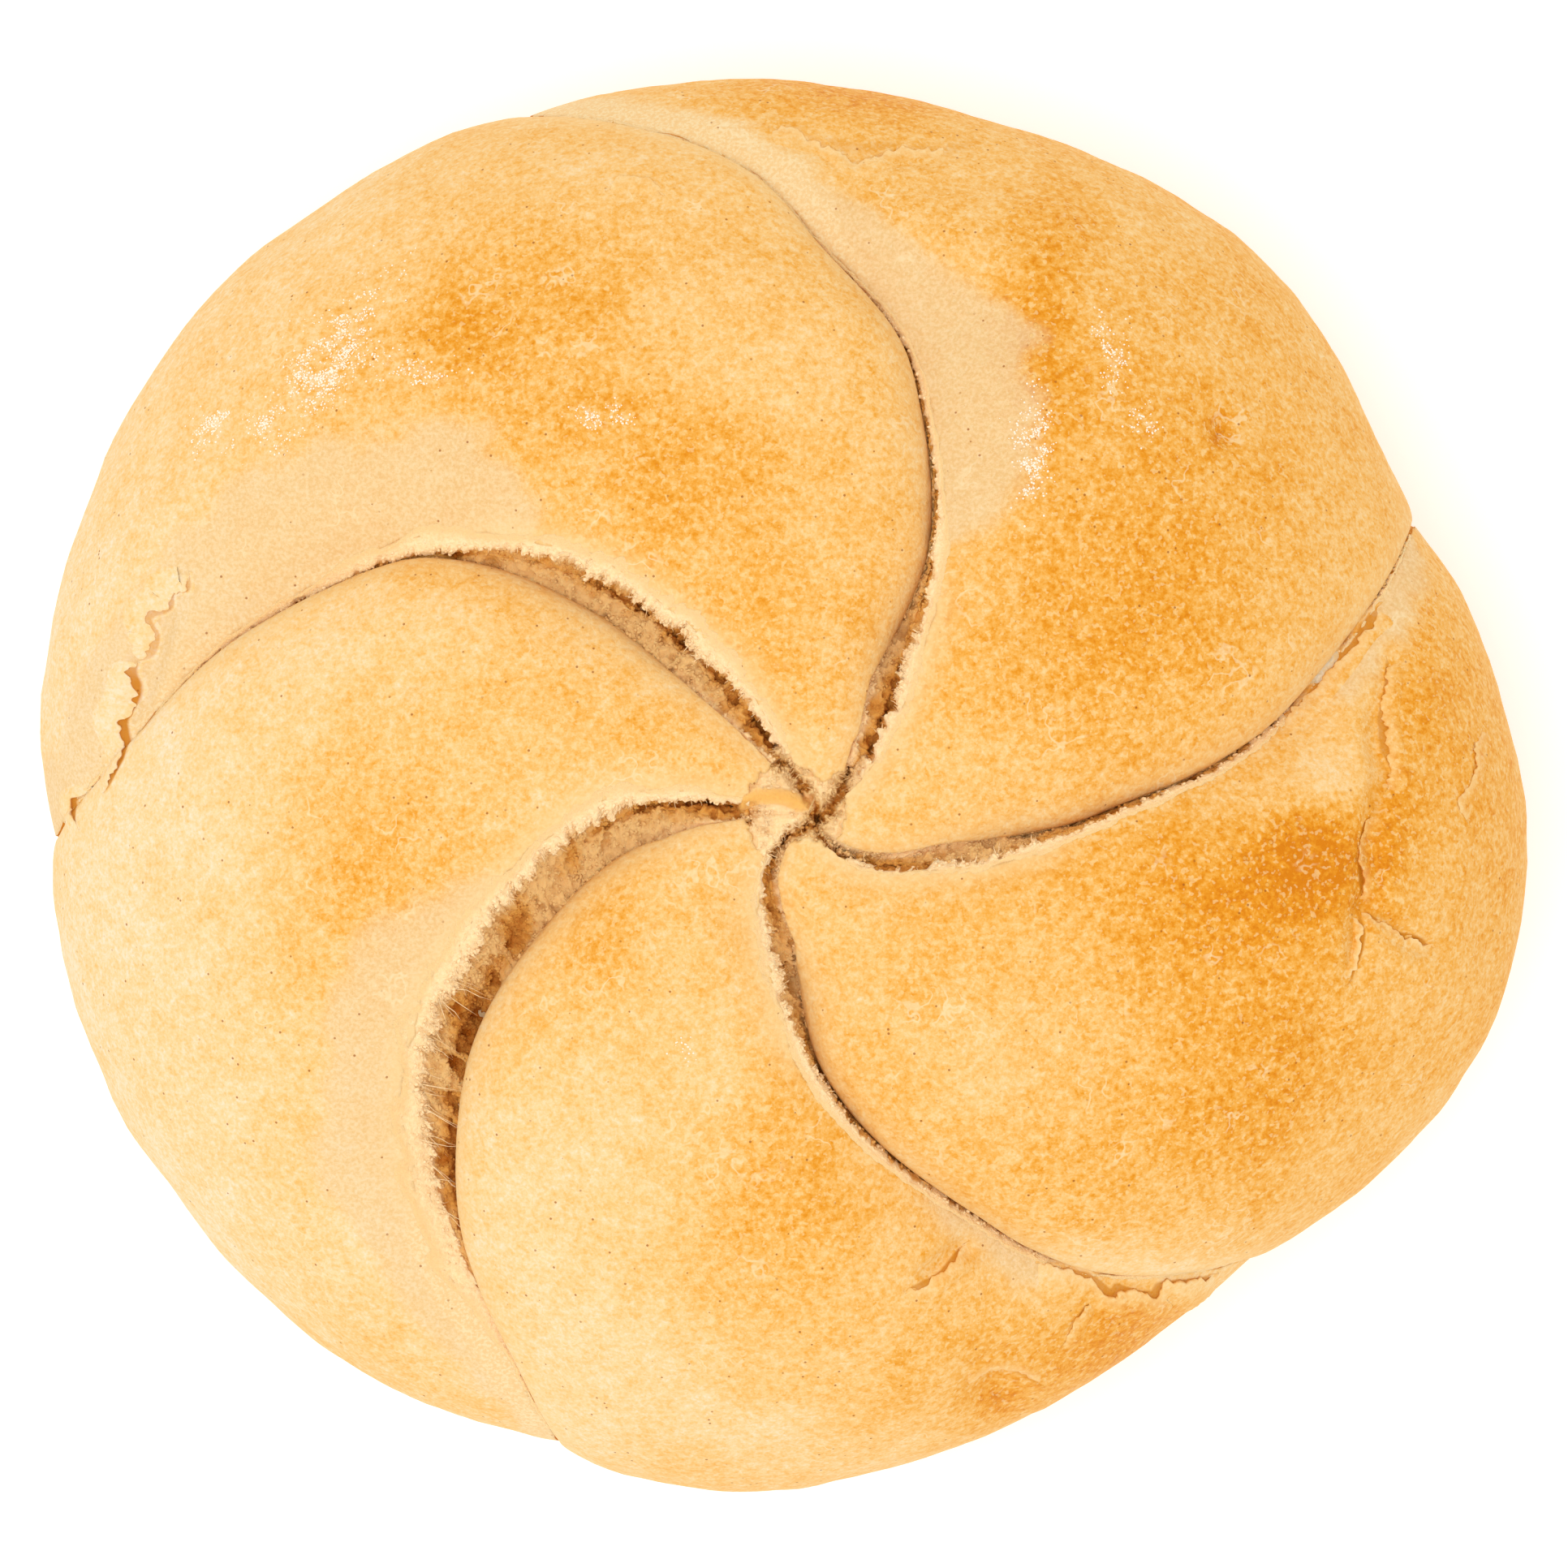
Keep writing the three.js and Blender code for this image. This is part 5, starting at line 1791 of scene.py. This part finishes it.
class ROLL_OT_crumb(MakesPiece, bpy.types.Operator):
    """Line each torn seam with crumb"""

    bl_idname = "roll.crumb"
    bl_label = "Torn crumb"

    def execute(self, context):
        look = context.scene.roll_crumb
        material = crumb_material(look, "torn crumb", look.glow)
        for number, seam in enumerate(SEAMS):
            points, faces, facts = Lining(number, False).surface()
            piece = new_piece(f"torn_crumb_{seam.name}", points, faces, material, facts)
            keep_piece(piece)
        points, faces, facts = centre_surface(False)
        keep_piece(new_piece("torn_crumb_middle", points, faces, material, facts))
        return {"FINISHED"}


class ROLL_OT_fibres(MakesPiece, bpy.types.Operator):
    """Grow fibres on the lips and slopes of the torn crumb"""

    bl_idname = "roll.fibres"
    bl_label = "Crumb fibres"

    def execute(self, context):
        look = context.scene.roll_crumb
        material = crumb_material(look, "fibres and grains", 0)
        fibres = scatter_tree("crumb fibres", 5, "fringe", look.fibres, fibre_shape, material,
                              (0.4, 0.9), 0.7, reach="reach", wave=0.5)
        grains = scatter_tree("crumb grains", 7, "grains", look.grains, crumb_shape, material,
                              (0.6, 2.0), 1.2, reach="reach", wave=0.3)
        strands = scatter_tree("crumb strands", 8, "strands", 0.2 * look.fibres, fibre_shape,
                               material, (2.0, 3.2), 0.5, reach="reach", wave=0.6)
        kinds = [
            ("fibres", fibres, 0.4, 1.0), ("grains", grains, 0.5, 1.7),
            ("strands", strands, 0.8, 1.2),
        ]
        for seam in [*SEAMS, None]:
            name = seam.name if seam else "middle"
            lining = bpy.data.objects[f"torn_crumb_{name}"]
            # Strands grow in the middle and in the one seam that they span.
            has_strands = seam is None or seam.strands[1]
            for kind, tree, smallest, largest in kinds if has_strands else kinds[:-1]:
                piece = grown(lining, tree, f"crumb_{kind}_{name}",
                              Smallest=smallest, Largest=largest)
                keep_piece(piece)
        return {"FINISHED"}


class ROLL_OT_flour(MakesPiece, bpy.types.Operator):
    """Dust the crust with a little flour"""

    bl_idname = "roll.flour"
    bl_label = "Flour"

    def execute(self, context):
        material = flour_material()
        amount = context.scene.roll_flour.density
        tree = scatter_tree("flour", 9, "flour", amount, grain_shape, material, (0.4, 0.8), 0.3,
                            clumps=CLUMP)
        piece = grown(bpy.data.objects["baked_crust"], tree, "flour", Smallest=0.6, Largest=1.8)
        keep_piece(piece)
        return {"FINISHED"}


class ROLL_OT_stage(MakesPiece, bpy.types.Operator):
    """Set up the floor, the soft light and the camera straight above"""

    bl_idname = "roll.stage"
    bl_label = "Stage"

    def execute(self, context):
        stage = context.scene.roll_stage
        floor_mesh = bpy.data.meshes.new("floor")
        corners = [(-1, -1), (1, -1), (1, 1), (-1, 1)]
        corners = [(FLOOR_REACH * x, FLOOR_REACH * y, SOLID_LOW.z) for x, y in corners]
        floor_mesh.from_pydata(corners, [], [(0, 1, 2, 3)])
        floor_mesh.materials.append(floor_material())
        floor = bpy.data.objects.new("floor", floor_mesh)
        context.scene.collection.objects.link(floor)

        world = bpy.data.worlds.new("even white light")
        world.use_nodes = True
        background = world.node_tree.nodes["Background"]
        background.inputs["Color"].default_value = (1, 1, 1, 1)
        background.inputs["Strength"].default_value = stage.sky
        context.scene.world = world

        lamp = bpy.data.lights.new("key light", "AREA")
        lamp.size = KEY_SIZE
        lamp.energy = stage.key
        key = bpy.data.objects.new("key light", lamp)
        key.location = KEY_PLACE
        key.rotation_euler = (-key.location).to_track_quat("-Z", "Y").to_euler()
        key.visible_camera = False
        context.scene.collection.objects.link(key)

        camera_data = bpy.data.cameras.new("camera")
        camera_data.sensor_width = 36
        camera_data.lens = stage.lens
        camera_data.clip_end = 20
        camera = bpy.data.objects.new("camera", camera_data)
        distance = stage.view_width * camera_data.lens / camera_data.sensor_width
        camera.location = (0, 0, RIM_HEIGHT * MM + distance)
        context.scene.collection.objects.link(camera)
        context.scene.camera = camera
        context.scene.view_settings.view_transform = "Standard"
        return {"FINISHED"}


class ROLL_PT_panel(bpy.types.Panel):
    """The roll's settings and the buttons that make its pieces"""

    bl_idname = "ROLL_PT_panel"
    bl_label = "Bread roll"
    bl_space_type = "VIEW_3D"
    bl_region_type = "UI"
    bl_category = "Bread roll"

    def draw(self, context):
        for settings, steps in PANEL_ROWS:
            group = getattr(context.scene, settings)
            box = self.layout.box()
            for prop in group.__annotations__:
                box.prop(group, prop)
            for step in steps:
                box.operator(step)


SETTINGS = {
    "roll_crust": RollCrustSettings,
    "roll_crumb": RollCrumbSettings,
    "roll_flour": RollFlourSettings,
    "roll_stage": RollStageSettings,
}
PANEL_ROWS = [
    ("roll_crust", ["roll.crust", "roll.flaps"]),
    ("roll_crumb", ["roll.crumb", "roll.fibres"]),
    ("roll_flour", ["roll.flour"]),
    ("roll_stage", ["roll.stage"]),
]
STEPS = [ROLL_OT_crust, ROLL_OT_flaps, ROLL_OT_crumb, ROLL_OT_fibres, ROLL_OT_flour, ROLL_OT_stage]


def register():
    for settings in SETTINGS.values():
        bpy.utils.register_class(settings)
    for name, settings in SETTINGS.items():
        setattr(bpy.types.Scene, name, bpy.props.PointerProperty(type=settings))
    for cls in [*STEPS, ROLL_PT_panel]:
        bpy.utils.register_class(cls)


def unregister():
    for cls in reversed([*STEPS, ROLL_PT_panel]):
        bpy.utils.unregister_class(cls)
    for name in SETTINGS:
        delattr(bpy.types.Scene, name)
    for settings in reversed(SETTINGS.values()):
        bpy.utils.unregister_class(settings)


def outline_middle():
    """The middle of the roll's box in plan, which the frame's origin stands under."""
    profile = np.linspace(20, -20, 41)
    edges = []
    for number in range(len(SEAMS)):
        petal = Petal(number, profile)
        for t in np.linspace(0.02, 0.98, 120):
            bearing = lerp(petal.start, petal.end, t)
            edges.append(place_on(bearing, profile, petal.crust(bearing)))
    plan = np.concatenate(edges)[:, :2]
    return (plan.min(axis=0) + plan.max(axis=0)) / 2


ORIGIN_SHIFT = outline_middle()


def main():
    """Makes every piece and the stage."""
    for old in list(bpy.data.objects):
        if old.name in ("Cube", "Light", "Camera"):
            bpy.data.objects.remove(old)
    register()
    bpy.ops.roll.crust()
    bpy.ops.roll.flaps()
    bpy.ops.roll.crumb()
    bpy.ops.roll.fibres()
    bpy.ops.roll.flour()
    bpy.ops.roll.stage()


if __name__ == "__main__":
    main()
